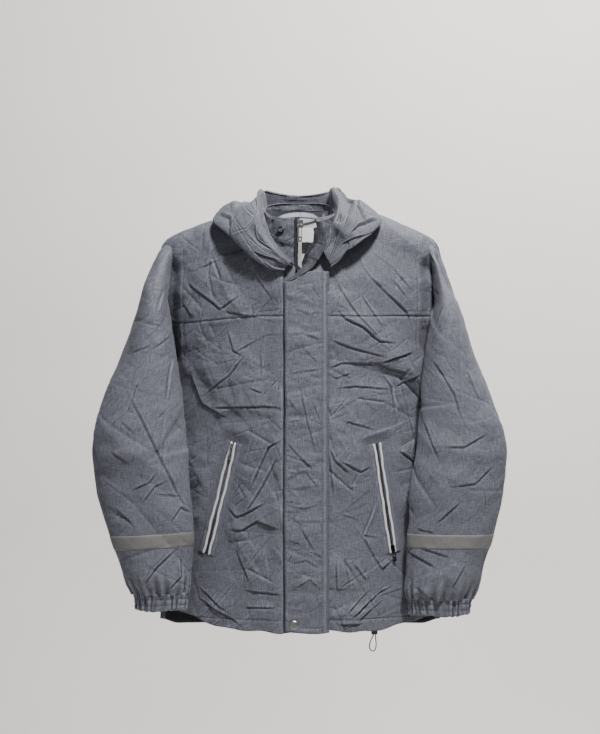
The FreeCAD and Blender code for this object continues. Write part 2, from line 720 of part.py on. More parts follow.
def slider(label, placement, scale=1.0):
    """A zip slider: two plates, a post between the coils, side lips over the tape, and a bail in front."""
    half, length = dim("slider_half_width"), dim("slider_length")
    channel, deep, plate = dim("channel_half_width"), dim("channel_depth") / 2, dim("plate_thickness")
    slit, bar, wide = dim("slit_height") / 2, dim("bail_bar"), dim("bail_width") / 2
    low, high = -length / 2, length / 2
    solids = [
        block(-half, half, -deep - plate, -deep, low, high),
        block(-half, half, deep, deep + plate, low, high),
        block(-0.5, 0.5, -deep, deep, high - 4, high),
    ]
    for sign in (-1, 1):
        edge = sorted((sign * channel, sign * half))
        solids.append(block(*edge, -deep, -slit, low, high))
        solids.append(block(*edge, slit, deep, low, high))
    front = -deep - plate
    top = front - dim("bail_height")
    arch_low, arch_high = -3.4, -3.4 + dim("bail_length")
    solids.append(block(-wide, wide, top, top + bar, arch_low, arch_high))
    solids.append(block(-wide, wide, top, front, arch_low, arch_low + bar))
    solids.append(block(-wide, wide, top, front, arch_high - bar, arch_high))
    body = solids[0].fuse(solids[1:]).removeSplitter()
    corner = [e for e in body.Edges if len(e.Vertexes) == 2
              and abs(e.Vertexes[0].X - e.Vertexes[1].X) < 1e-6
              and abs(abs(e.Vertexes[0].X) - half) < 1e-6
              and abs(e.Vertexes[0].Z - e.Vertexes[1].Z) < 1e-6
              and abs(abs(e.Vertexes[0].Z) - high) < 1e-6]
    if corner:
        body = body.makeFillet(0.6, corner)
    if scale != 1.0:
        body.scale(scale)
    shape_node(label, body, placement)


def pull_tab(label, length, width, placement, scale=1.0):
    """A pull tab hung by a cross bar: an open frame above, a solid foot with a square hole below."""
    thick, foot, arm = dim("pull_thickness"), 9.0, 1.2
    half = width / 2
    bar_radius = 0.7
    frame = block(-half, half, -thick / 2, thick / 2, -length, 0)
    window = block(-half + arm, half - arm, -thick, thick, -length + foot, 1)
    hole = block(-1.1, 1.1, -thick, thick, -length + 2.6, -length + 5.8)
    tab = frame.cut([window, hole])
    arms = [e for e in tab.Edges if abs(e.BoundBox.ZMin + length) < 1e-6 and abs(e.BoundBox.ZMax + length) < 1e-6
            and e.BoundBox.YLength > thick - 1e-6 and abs(abs(e.BoundBox.XMin) - half) < 1e-6]
    tab = tab.makeFillet(1.2, arms) if arms else tab
    bar = Part.makeCylinder(bar_radius, width, Vector(-half, 0, 0), Vector(1, 0, 0))
    body = tab.fuse(bar).removeSplitter()
    if scale != 1.0:
        body.scale(scale)
    shape_node(label, body, placement)


def pull_tape(label, placement):
    """The folded tape that hangs from the main pull tab."""
    long, half = dim("pull_tape_length"), dim("pull_tape_width") / 2
    thick = dim("pull_tape_thickness") / 2
    top = -dim("main_pull_length") - 0.2
    tape = block(-half, half, -thick, thick, top - long, top)
    slot = block(-0.4, 0.4, -thick - 1, thick + 1, top - long + 5, top - 4)
    shape_node(label, tape.cut(slot), placement)


def zip_hardware():
    """The front slider near the top of the collar, and a slider in each pocket zip."""
    rest = Vector(0, dim("zip_plane"), dim("slider_rest"))
    slider("main_slider", Placement(rest, Rotation()))
    pull = Placement(rest + Vector(0, -dim("pull_axis_out"), -dim("pull_axis_down")), Rotation())
    pull_tab("main_pull_tab", dim("main_pull_length"), dim("main_pull_width"), pull)
    pull_tape("main_pull_tape", pull)
    scale = dim("pocket_scale")
    for side, line in POCKETS.items():
        margin = 8.0
        along = margin if side == "right" else line.length - margin
        slider(f"{side}_pocket_slider", line.placement(along, -0.8), scale)
        offset = dim("pull_axis_out") * scale
        place = line.placement(along + dim("pull_axis_down") * scale, -0.8 + offset)
        pull_tab(
            f"{side}_pocket_pull_tab", dim("pocket_pull_length") / scale, dim("pocket_pull_width") / scale,
            place, scale)


def pocket_zips():
    """Tapes, coils and reflective piping of each pocket zip."""
    scale = dim("pocket_scale")
    gap, coil = dim("zip_gap") * scale, dim("coil_width") * scale
    thick = dim("coil_thickness") * scale
    piping, offset = dim("pocket_piping_width"), dim("pocket_piping_offset")
    tape = dim("pocket_tape_width") - 2.6
    for side, line in POCKETS.items():
        tapes, coils, pipings = [], [], []
        for sign in (-1, 1):
            def strip(near, far, y_low, y_high):
                low, high = sorted((sign * near, sign * far))
                return block(low, high, y_low, y_high, -line.length, 0)
            coils.append(strip(gap, gap + coil, -thick / 2, thick / 2))
            tapes.append(strip(gap + coil + 0.05, gap + coil + tape, -0.3, 0.3))
            pipings.append(strip(offset - piping / 2, offset + piping / 2, -0.8, -0.35))
        place = line.placement(0, -0.8)
        shape_node(f"{side}_pocket_tape", Part.makeCompound(tapes), place)
        shape_node(f"{side}_pocket_coil", Part.makeCompound(coils), place)
        shape_node(f"{side}_pocket_piping", Part.makeCompound(pipings), place)


# ---------------------------------------------------------------- labels and hanger loop

def labels():
    """A blank woven label inside the back of the neck, with a smaller blank tab below it."""
    wide, tall, thick = dim("label_width"), dim("label_height"), dim("label_thickness")
    y = 1.2
    main = Part.makeBox(wide, thick, tall, Vector(-wide / 2, y, -16 - tall))
    tab = Part.makeBox(17, thick, 12, Vector(-2, y, -16 - tall - 12.1))
    shape_node("neck_labels", Part.makeCompound([main, tab]))


def hanger_loop():
    """A flat tape arch inside the back of the neck: what the jacket hangs by."""
    span, reach = dim("loop_span") / 2, dim("loop_reach")
    thick, tall = dim("loop_thickness"), dim("loop_height")
    back = 4.0
    outer = Part.Arc(Vector(-span, back, 0), Vector(0, back - reach, 0), Vector(span, back, 0)).toShape()
    inner = Part.Arc(
        Vector(span - 3, back, 0), Vector(0, back - reach + thick, 0), Vector(-span + 3, back, 0)).toShape()
    ends = [
        Part.LineSegment(Vector(span, back, 0), Vector(span - 3, back, 0)).toShape(),
        Part.LineSegment(Vector(-span + 3, back, 0), Vector(-span, back, 0)).toShape(),
    ]
    face = Part.Face(Part.Wire([outer, ends[0], inner, ends[1]]))
    strip = face.extrude(Vector(0, 0, tall)).translated(Vector(0, 0, -tall / 2))
    shape_node("hanger_loop", strip.cut(torso_form(dim("lining_depth")).cut(
        torso_form(dim("lining_depth") + dim("lining_thickness") + 0.1, below=5))))


# ---------------------------------------------------------------- hem cord

# The loop of cord below the hem, from one strand's exit round to the other's.
CORD_ROUTE = [
    (118.6, -676.8), (115.4, -683.6), (112.4, -691.4), (111.8, -700.2),
    (118.2, -705.0), (122.6, -699.4), (122.9, -690.6), (122.0, -682.4), (121.6, -676.8),
]


def tube_along(points, diameter):
    """A round tube along straight runs joined by tangent arcs, each as large as its runs allow."""
    share = 0.45
    edges, start, radii = [], points[0], []
    for before, corner, after in zip(points, points[1:], points[2:]):
        arrive, leave = (corner - before), (after - corner)
        turn = arrive.getAngle(leave)
        cut = share * min(arrive.Length, leave.Length)
        radii.append(cut / math.tan(turn / 2))
        first = corner - arrive.normalize() * cut
        last = corner + leave.normalize() * cut
        inward = ((first + last) * 0.5 - corner).normalize()
        radius = radii[-1]
        middle = corner + inward * (radius / math.cos(turn / 2) - radius)
        edges.append(Part.LineSegment(start, first).toShape())
        edges.append(Part.Arc(first, middle, last).toShape())
        start = last
    edges.append(Part.LineSegment(start, points[-1]).toShape())
    path = Part.Wire(edges)
    direction = (points[1] - points[0]).normalize()
    section = Part.Wire(Part.Circle(points[0], direction, diameter / 2).toShape())
    tube = path.makePipeShell([section], True, False)
    expected = math.pi * diameter * diameter / 4 * path.Length
    print(f"cord: length {path.Length:.1f} mm, radii {[round(r, 1) for r in radii]}, "
          f"volume {tube.Volume:.1f} against {expected:.1f}")
    return tube


def hem_cord():
    """The drawcord in the hem, the guide that it comes out of, and the loop that hangs from it."""
    diameter, reach = dim("cord_diameter"), dim("cord_guide_reach")
    wide, tall, deep = dim("cord_guide_width"), dim("cord_guide_height"), dim("cord_guide_depth")
    y = front_face_depth(reach, HEM) + 2.6
    guide = block(reach - wide / 2, reach + wide / 2, y - deep / 2, y + deep / 2, HEM - 0.3 - tall, HEM - 0.3)
    upright = [e for e in guide.Edges if e.BoundBox.ZLength > tall - 1e-6]
    shape_node("hem_cord_guide", guide.makeFillet(1.8, upright))
    sway = [0.0, 0.2, 0.5, 0.8, 0.6, 0.1, -0.3, -0.2, 0.0]
    route = [Vector(x, y + dy, z - 0.55) for (x, z), dy in zip(CORD_ROUTE, sway)]
    shape_node("hem_cord_loop", tube_along(route, diameter))
    inset = 4.2
    half, side, front = (dim(f"torso_hem_{f}") for f in TORSO_FIELDS[1:4])
    radius = (half * half + front * front) / (2 * front) - inset
    centre_y = side - front + inset + radius
    start, stop = 126.0, 178.0
    angles = [math.asin(x / radius) for x in (start, (start + stop) / 2, stop)]
    level = HEM + 9
    points = [Vector(radius * math.sin(a), centre_y - radius * math.cos(a), level) for a in angles]
    path = Part.Wire(Part.Arc(*points).toShape())
    tangent = Vector(math.cos(angles[0]), math.sin(angles[0]), 0)
    ring = Part.Wire(Part.Circle(points[0], tangent, diameter / 2 + 0.1).toShape())
    shape_node("hem_drawcord", path.makePipeShell([ring], True, False))


# ---------------------------------------------------------------- build and write

def check_and_write():
    """Stops on any failed object or broken solid, then writes each sub-part's STEP file."""
    DOC.recompute()
    for obj in DOC.Objects:
        if "Invalid" in obj.State or "Error" in obj.State:
            raise RuntimeError(f"{obj.Label} did not build: {obj.State}")
    os.makedirs("parts", exist_ok=True)
    for old in os.listdir("parts"):
        os.remove(os.path.join("parts", old))
    for obj in NODES:
        shape = obj.Shape
        if shape.isNull() or not shape.isValid() or not shape.Solids or shape.Volume <= 0:
            raise RuntimeError(f"{obj.Label} is not a sound solid")
        shape.exportStep(f"parts/{obj.Label}.step")
    print(f"{len(NODES)} sub-parts written")


torso_panels()
inner_layers()
collar()
lapel()
hood()
sleeves()
front_zip()
storm_flap()
snaps()
zip_hardware()
pocket_zips()
labels()
hanger_loop()
hem_cord()
check_and_write()
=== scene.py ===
import json
import math

import bpy
import numpy as np
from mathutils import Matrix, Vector

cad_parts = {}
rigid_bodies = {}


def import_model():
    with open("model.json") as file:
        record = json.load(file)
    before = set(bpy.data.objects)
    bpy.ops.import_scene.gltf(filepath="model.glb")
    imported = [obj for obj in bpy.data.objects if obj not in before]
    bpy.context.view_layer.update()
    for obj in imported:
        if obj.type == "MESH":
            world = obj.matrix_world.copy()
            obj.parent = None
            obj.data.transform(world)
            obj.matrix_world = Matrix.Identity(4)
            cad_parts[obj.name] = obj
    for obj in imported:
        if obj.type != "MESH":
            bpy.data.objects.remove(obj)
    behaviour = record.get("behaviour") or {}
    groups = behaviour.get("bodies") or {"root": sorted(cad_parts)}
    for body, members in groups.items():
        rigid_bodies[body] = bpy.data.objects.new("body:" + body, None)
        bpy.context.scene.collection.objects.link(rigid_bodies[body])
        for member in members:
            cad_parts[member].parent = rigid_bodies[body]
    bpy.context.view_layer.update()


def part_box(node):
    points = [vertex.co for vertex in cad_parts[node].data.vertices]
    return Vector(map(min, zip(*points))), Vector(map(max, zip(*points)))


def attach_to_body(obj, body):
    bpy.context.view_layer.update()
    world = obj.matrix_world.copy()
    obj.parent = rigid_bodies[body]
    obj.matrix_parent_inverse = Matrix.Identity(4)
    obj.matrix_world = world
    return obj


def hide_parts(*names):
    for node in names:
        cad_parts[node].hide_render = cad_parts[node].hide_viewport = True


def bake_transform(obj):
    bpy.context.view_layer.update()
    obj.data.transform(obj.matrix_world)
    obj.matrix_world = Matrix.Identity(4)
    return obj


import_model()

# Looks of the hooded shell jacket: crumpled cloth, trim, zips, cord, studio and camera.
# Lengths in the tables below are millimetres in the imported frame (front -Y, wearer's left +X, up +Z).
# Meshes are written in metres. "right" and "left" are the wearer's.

MM = 0.001
ROOT = "jacket_shell"
SCENE = bpy.context.scene
SIDES = ("right", "left")
SIGN = {"right": -1.0, "left": 1.0}
FRONTWARD, BACKWARD = (0, -1, 0), (0, 1, 0)

# ---------------------------------------------------------------- base forms

# Torso levels: height, half width, side seam depth, front and back bulge.
TORSO = np.array([
    (-672, 231, -13, 102, 34), (-618, 228.5, -12.5, 102.5, 37), (-566, 224.1, -12, 103, 33),
    (-505, 223, -11.5, 103.5, 37),
    (-450, 222, -11, 104, 34), (-392, 221.7, -11.6, 103.4, 38), (-335, 221.4, -12.3, 102.7, 34),
    (-270, 221, -13, 102, 36),
    (-165, 240, -17, 98, 34), (-100, 240, -21, 94, 36), (-60, 231, -25, 80, 37), (-42, 226, -27, 70, 38),
    (-29, 210, -28, 62, 39),
    (-15, 172, -29, 55, 40), (9, 94, -31, 40, 42), (20, 60, -33, 26, 44),
], float)
# Sleeve levels: height, inner and outer reach from the middle, centre depth, half depth.
SLEEVE = {
    "right": np.array([
        (-40, 200, 214, -31, 6), (-48, 200, 228, -33, 9), (-79, 211, 240, -38, 25), (-100, 213, 248, -40, 34),
        (-139, 214, 261, -47, 42), (-219, 203, 287, -58, 44), (-249, 194, 298, -63, 43),
        (-275, 190, 308, -68, 42),
        (-299, 188, 316, -71, 40), (-324, 186, 324, -74, 39), (-348, 183, 332, -78, 37),
        (-379, 180, 337, -81, 35),
        (-459, 178, 327, -84, 33), (-531, 176, 303, -84, 32), (-587, 178, 281, -83, 30),
        (-612, 181, 270, -82, 25),
        (-640, 182, 269, -81, 23),
    ], float),
    "left": np.array([
        (-40, 200, 212, -31, 6), (-48, 200, 224, -33, 9), (-79, 211, 236, -38, 25), (-100, 214, 243, -40, 34),
        (-139, 216, 256, -47, 42), (-219, 206, 281, -58, 44), (-249, 201, 293, -63, 43),
        (-275, 198, 304, -68, 42),
        (-299, 196, 312, -71, 40), (-324, 193, 320, -74, 39), (-348, 190, 328, -78, 37),
        (-379, 186, 335, -81, 35),
        (-459, 176, 327, -84, 33), (-531, 171, 310, -84, 32), (-587, 173, 288, -83, 30),
        (-612, 175, 278, -82, 25),
        (-640, 176, 275, -81, 23),
    ], float),
}
HEM = -672.0
YOKE_SEAM = -165.0
NECK_CENTRE, NECK_ACROSS, NECK_DEEP = -52.5, 60.0, 59.5
ARMHOLE = 211.0
SIDE_REACH = 223.0  # the shell runs on under the sleeve heads to here
UNDERARM, LINING_UNDERARM = -190.0, -268.0  # below these the shell and the lining reach their side seams
SHOULDER = 17.0
FRONT_EDGE = 8.0
HEM_STITCH = 21.0
ELBOW, ELBOW_REACH = -392.0, 46.0
CUFF_TOP = -612.0
FLAP_FREE, FLAP_SEAM = -25.0, 40.0
FLAP_FACE = -123.0
ZIP_PLANE = -111.6
ZIP_TOP, ZIP_END = {"right": -8.0, "left": -88.0}, -634.0
TORSO_BLUR, SLEEVE_BLUR = 6.0, 9.0  # how far the level tables are smoothed up and down
SIDE_INSET = 1.8  # how much narrower a layer is for each millimetre that it lies inside the shell


def table(levels, z, spread=10.0):
    """The columns of a level table at height z, a little smoothed up and down."""
    order = np.argsort(levels[:, 0])
    heights, columns = levels[order, 0], levels[order, 1:]
    out = []
    for k in range(columns.shape[1]):
        out.append(sum(np.interp(z + d, heights, columns[:, k]) for d in (-spread, 0.0, spread)) / 3)
    return out


def arc_depth(x, half, bulge):
    """How far an arc of that half width and bulge stands out from its chord at x."""
    radius = (half * half + bulge * bulge) / (2 * bulge)
    x = np.clip(np.abs(x), 0, half)
    return np.sqrt(np.maximum(radius * radius - x * x, 0)) - (radius - bulge)


def torso_y(x, z, front=True, inset=0.0):
    """The torso's depth at x, z, on its front or back."""
    half, side, bulge_front, bulge_back = table(TORSO, z, TORSO_BLUR)
    half = half - SIDE_INSET * inset
    if front:
        return side - arc_depth(x, half, bulge_front - inset)
    return side + arc_depth(x, half, bulge_back - inset)


def torso_half(z, inset=0.0):
    """The torso's half width at that height."""
    return table(TORSO, z, TORSO_BLUR)[0] - SIDE_INSET * inset


def smooth(a, b, t):
    """0 before a, 1 after b, smooth between them."""
    t = np.clip((t - a) / (b - a), 0, 1)
    return t * t * (3 - 2 * t)


def bell(away, reach):
    """1 at no distance, falling to nothing beyond about twice the reach."""
    return np.exp(-(away / reach) ** 2)


# ---------------------------------------------------------------- crumple maps

class Crumple:
    """A height map in millimetres over a flat patch of cloth."""

    def __init__(self, low, high, seed, step=2.0):
        self.low, self.step = np.array(low, float), step
        count = np.ceil((np.array(high, float) - self.low) / step).astype(int) + 1
        self.h = np.zeros((count[1], count[0]))
        self.x = self.low[0] + np.arange(count[0]) * step
        self.z = self.low[1] + np.arange(count[1]) * step
        self.rng = np.random.default_rng(seed)

    def facets(self, long, wide, degrees, height, line=0.0, line_width=2.2, mask=None):
        """Flat facets that meet at straight creases, stretched along one direction."""
        rng, turn = self.rng, math.radians(degrees)
        centre = np.array([self.x.mean(), self.z.mean()])
        reach = math.hypot(np.ptp(self.x), np.ptp(self.z)) / 2 + 2 * long
        nu, nv = int(2 * reach / long) + 2, int(2 * reach / wide) + 2
        u, v = np.meshgrid((np.arange(nu) - nu / 2) * long, (np.arange(nv) - nv / 2) * wide, indexing="ij")
        u = u + (np.arange(nv) % 2) * long / 2 + rng.uniform(-0.42, 0.42, u.shape) * long
        v = v + rng.uniform(-0.42, 0.42, u.shape) * wide
        px = centre[0] + u * math.cos(turn) - v * math.sin(turn)
        pz = centre[1] + u * math.sin(turn) + v * math.cos(turn)
        tall = rng.normal(0, 1, u.shape)
        edge = rng.normal(0, 1, u.shape + (3,))
        flip = rng.random(u.shape) < 0.5
        layer = np.zeros_like(self.h)
        line = line / max(height, 1e-6)
        for i in range(nu - 1):
            for j in range(nv - 1):
                corners = [(i, j), (i + 1, j), (i + 1, j + 1), (i, j + 1)]
                if flip[i, j]:
                    triples = ((0, 1, 2), (0, 2, 3))
                else:
                    triples = ((1, 2, 3), (1, 3, 0))
                for t in triples:
                    self._fill(layer, [corners[k] for k in t], px, pz, tall, edge, line, line_width)
        layer *= height
        if mask is not None:
            layer *= mask(self.x[None, :], self.z[:, None])
        self.h += layer
        return self

    def _fill(self, layer, corners, px, pz, tall, edge, line, width):
        """Draws one triangle of a layer, with a groove along some of its edges."""
        a, b, c = (np.array([px[k], pz[k]]) for k in corners)
        low, high = np.minimum(np.minimum(a, b), c), np.maximum(np.maximum(a, b), c)
        i0, j0 = np.maximum(np.floor((low - self.low) / self.step).astype(int), 0)
        i1, j1 = np.floor((high - self.low) / self.step).astype(int) + 1
        i1, j1 = min(i1, len(self.x) - 1), min(j1, len(self.z) - 1)
        area = (b[0] - a[0]) * (c[1] - a[1]) - (b[1] - a[1]) * (c[0] - a[0])
        if i1 < i0 or j1 < j0 or abs(area) < 1e-6:
            return
        x, z = self.x[None, i0:i1 + 1], self.z[j0:j1 + 1, None]
        wb = ((x - a[0]) * (c[1] - a[1]) - (z - a[1]) * (c[0] - a[0])) / area
        wc = ((b[0] - a[0]) * (z - a[1]) - (b[1] - a[1]) * (x - a[0])) / area
        wa = 1 - wb - wc
        inside = (wa >= -1e-9) & (wb >= -1e-9) & (wc >= -1e-9)
        value = wa * tall[corners[0]] + wb * tall[corners[1]] + wc * tall[corners[2]]
        if line:
            for w, p, q, one, two in ((wa, b, c, 1, 2), (wb, c, a, 2, 0), (wc, a, b, 0, 1)):
                away = w * abs(area) / max(np.hypot(*(q - p)), 1e-6)
                k, m = corners[one], corners[two]
                strength = edge[k][(m[0] + m[1]) % 3] + edge[m][(k[0] + k[1]) % 3]
                value = value - 1.3 * line * max(abs(strength) - 1.5, 0.0) * np.exp(-(away / width) ** 2)
        part = layer[j0:j1 + 1, i0:i1 + 1]
        part[inside] = value[inside]

    def fold(self, points, height, sharp=1.5, gentle=9.0, lean=-0.35):
        """One crease along a given line: a ridge, a groove on its lower side, a gentle slope above."""
        points = np.array(points, float)
        if (points[-1] - points[0]) @ np.array([1.0, lean]) < 0:
            points = points[::-1]
        runs = np.hypot(*np.diff(points, axis=0).T)
        total, before = runs.sum(), 0.0
        near = np.full(self.h.shape, 1e9)
        value = np.zeros_like(self.h)
        x, z = np.meshgrid(self.x, self.z)
        for p, q, run in zip(points[:-1], points[1:], runs):
            d = (q - p) / run
            along = np.clip((x - p[0]) * d[0] + (z - p[1]) * d[1], 0, run)
            dx, dz = x - p[0] - along * d[0], z - p[1] - along * d[1]
            far = np.hypot(dx, dz)
            side = np.where(dx * -d[1] + dz * d[0] > 0, far, -far)
            share = np.clip((before + along) / total, 0.02, 0.98)
            fade = np.clip(1.6 * np.sin(math.pi * share), 0, 1)
            slope = np.where(side > 0, np.exp(-side / gentle), np.exp(side / (1.6 * sharp)))
            ridge = np.exp(-(side / sharp) ** 2)
            groove = np.exp(-((side + 2.3 * sharp) / (1.2 * sharp)) ** 2)
            shape = fade * (0.62 * slope + 0.26 * ridge - 0.50 * groove)
            closer = far < near
            value[closer], near[closer] = shape[closer], far[closer]
            before += run
        self.h += height * value
        return self

    def waves(self, length, degrees, height, mask=None, wander=0.6):
        """Soft long undulations, none of them regular."""
        turn, rng = math.radians(degrees), self.rng
        x, z = self.x[None, :], self.z[:, None]
        total = np.zeros_like(self.h)
        for _ in range(5):
            a = turn + rng.normal(0, wander * 0.4)
            k = 2 * math.pi / (length * rng.uniform(0.7, 1.5))
            total += np.sin(k * (x * math.cos(a) + z * math.sin(a)) + rng.uniform(0, 6.3))
        total *= height / 2.2
        self.h += total if mask is None else total * mask(x, z)
        return self

    def soften(self, passes=1):
        """Blurs the map with its four neighbours."""
        for _ in range(passes):
            padded = np.pad(self.h, 1, mode="edge")
            around = padded[:-2, 1:-1] + padded[2:, 1:-1] + padded[1:-1, :-2] + padded[1:-1, 2:]
            self.h = padded[1:-1, 1:-1] * 0.4 + 0.15 * around
        return self

    def at(self, x, z):
        """Heights at scattered places."""
        u = np.clip((np.asarray(x, float) - self.low[0]) / self.step, 0, len(self.x) - 1.001)
        v = np.clip((np.asarray(z, float) - self.low[1]) / self.step, 0, len(self.z) - 1.001)
        i, j = u.astype(int), v.astype(int)
        fu, fv = u - i, v - j
        top = self.h[j, i] * (1 - fu) + self.h[j, i + 1] * fu
        low = self.h[j + 1, i] * (1 - fu) + self.h[j + 1, i + 1] * fu
        return top * (1 - fv) + low * fv


# ---------------------------------------------------------------- meshes

def new_mesh(name, vertices, polygons, material, corner_uv=None):
    """A smooth-shaded mesh of one material, with cloth coordinates for its corners where they are given."""
    mesh = bpy.data.meshes.new(name)
    mesh.from_pydata(vertices, [], polygons)
    if corner_uv is not None:
        layer = mesh.uv_layers.new(name="UVMap")
        layer.data.foreach_set("uv", np.asarray(corner_uv, np.float32).reshape(-1))
    mesh.polygons.foreach_set("use_smooth", [True] * len(mesh.polygons))
    mesh.materials.append(material)
    return mesh


def add_object(name, data):
    """A new object in the scene."""
    obj = bpy.data.objects.new(name, data)
    SCENE.collection.objects.link(obj)
    return obj


def run_along(points):
    """How far along a line each of its points is."""
    steps = np.linalg.norm(np.diff(points, axis=0), axis=1)
    return np.concatenate([[0], np.cumsum(steps)])


def places_at(at, run, points):
    """Places at given distances along a line of points."""
    return np.stack([np.interp(at, run, points[:, k]) for k in range(3)], axis=1)


def grid_normals(points, outward):
    """Unit normals of a grid of points, turned to the side that outward points to."""
    across = np.gradient(points, axis=1)
    down = np.gradient(points, axis=0)
    normal = np.cross(across, down)
    normal /= np.maximum(np.linalg.norm(normal, axis=2, keepdims=True), 1e-9)
    if callable(outward):
        guide = outward(points)
    else:
        guide = np.broadcast_to(np.array(outward, float), normal.shape)
    sign = np.sign((normal * guide).sum(axis=2, keepdims=True))
    if not callable(outward):
        sign = np.sign(np.median(sign)) or 1.0
    return normal * sign


def crease_shade(points, closed, outward):
    """How much each point of a grid stands out as a ridge (over a half) or sinks as a fold (under a half)."""
    normal = grid_normals(points, outward)
    mode = "wrap" if closed else "edge"
    wide = np.pad(points, ((0, 0), (1, 1), (0, 0)), mode=mode)
    tall = np.pad(points, ((1, 1), (0, 0), (0, 0)), mode="edge")
    across = (wide[:, :-2] + wide[:, 2:]) / 2 - points
    down = (tall[:-2] + tall[2:]) / 2 - points
    gap_across = np.linalg.norm(wide[:, 2:] - wide[:, :-2], axis=2) / 2 + 1e-6
    gap_down = np.linalg.norm(tall[2:] - tall[:-2], axis=2) / 2 + 1e-6
    bend = (across * normal).sum(axis=2) / gap_across ** 2 + (down * normal).sum(axis=2) / gap_down ** 2
    return np.clip(0.5 - 1.5 * bend, 0.0, 1.0)


def grid_mesh(name, points, uv, material, closed=False, keep=None, thickness=0.8, outward=FRONTWARD):
    """An object from a grid of points in millimetres, with its cloth coordinates in metres."""
    rows, cols = points.shape[:2]
    index = np.arange(rows * cols).reshape(rows, cols)
    if closed:
        index = np.concatenate([index, index[:, :1]], axis=1)
    quads = np.stack([index[:-1, :-1], index[:-1, 1:], index[1:, 1:], index[1:, :-1]], axis=-1)
    if keep is not None:
        if closed:
            keep = np.concatenate([keep, keep[:, :1]], axis=1)
        whole = keep[:-1, :-1] & keep[:-1, 1:] & keep[1:, 1:] & keep[1:, :-1]
        quads = quads[whole]
    quads = quads.reshape(-1, 4)
    flat = points.reshape(-1, 3)
    a, b, c = flat[quads[:, 0]], flat[quads[:, 1]], flat[quads[:, 2]]
    face_normal = np.cross(b - a, c - a)
    guide = outward(points).reshape(-1, 3)[quads[:, 0]] if callable(outward) else np.array(outward, float)
    if np.sum(face_normal * guide) < 0:
        quads = quads[:, ::-1]
    used, quads = np.unique(quads, return_inverse=True)
    quads = quads.reshape(-1, 4)
    corner_uv = uv.reshape(-1, 2)[used][quads.reshape(-1)]
    mesh = new_mesh(name, (flat[used] * MM).tolist(), quads.tolist(), material, corner_uv)
    # How far each point rises as a ridge or sinks into a fold; the shell cloth turns this into painted shade in
    # the folds and lighter ridges.
    colour = mesh.color_attributes.new("crease", "FLOAT_COLOR", "POINT")
    shade = crease_shade(points, closed, outward).reshape(-1)[used]
    colour.data.foreach_set("color", np.repeat(shade[:, None], 4, axis=1).astype(np.float32).reshape(-1))
    mesh.update()
    obj = add_object(name, mesh)
    if thickness:
        solid = obj.modifiers.new("cloth thickness", "SOLIDIFY")
        solid.thickness = thickness * MM
        solid.offset = -1
    return obj


def box_mesh(name, boxes, material, bevel=0.0, segments=2):
    """Rounded blocks as one object; each block is centre, size and an optional 3x3 turn, in millimetres."""
    corners = np.array([(x, y, z) for x in (-0.5, 0.5) for y in (-0.5, 0.5) for z in (-0.5, 0.5)])
    faces = [(0, 1, 3, 2), (4, 6, 7, 5), (0, 4, 5, 1), (2, 3, 7, 6), (0, 2, 6, 4), (1, 5, 7, 3)]
    vertices, polygons = [], []
    for block in boxes:
        centre, size = np.array(block[0], float), np.array(block[1], float)
        turn = np.array(block[2]) if len(block) > 2 else np.eye(3)
        base = len(vertices)
        vertices.extend(((corners * size) @ turn.T + centre) * MM)
        polygons.extend([tuple(base + k for k in f) for f in faces])
    obj = add_object(name, new_mesh(name, [tuple(v) for v in vertices], polygons, material))
    if bevel:
        edge = obj.modifiers.new("rounded edges", "BEVEL")
        edge.width, edge.segments, edge.limit_method = bevel * MM, segments, "ANGLE"
    return obj


def tube_mesh(name, lines, radius, material, sides=8, flat=1.0):
    """Round or flattened tubes along lines of points, as one closed mesh."""
    vertices, polygons, uvs = [], [], []
    for line, normals in lines:
        line, normals = np.array(line, float), np.array(normals, float)
        tangent = np.gradient(line, axis=0)
        tangent /= np.maximum(np.linalg.norm(tangent, axis=1, keepdims=True), 1e-9)
        side = np.cross(tangent, normals)
        side /= np.maximum(np.linalg.norm(side, axis=1, keepdims=True), 1e-9)
        up = np.cross(side, tangent)
        base = len(vertices)
        taper = np.ones(len(line))
        taper[0] = taper[-1] = 0.55
        run = run_along(line)
        for k in range(len(line)):
            for s in range(sides):
                a = 2 * math.pi * s / sides
                offset = side[k] * math.cos(a) + up[k] * math.sin(a) * flat
                vertices.append((line[k] + offset * radius * taper[k]) * MM)
                uvs.append((s / sides * 2 * math.pi * radius * MM, run[k] * MM))
        for k in range(len(line) - 1):
            for s in range(sides):
                n = (s + 1) % sides
                polygons.append((base + k * sides + s, base + k * sides + n,
                                 base + (k + 1) * sides + n, base + (k + 1) * sides + s))
        polygons.append(tuple(base + s for s in range(sides))[::-1])
        polygons.append(tuple(base + (len(line) - 1) * sides + s for s in range(sides)))
    corners = np.array([v for p in polygons for v in p])
    mesh = new_mesh(name, [tuple(v) for v in vertices], polygons, material, np.array(uvs, np.float32)[corners])
    mesh.update()
    return add_object(name, mesh)


# ---------------------------------------------------------------- materials

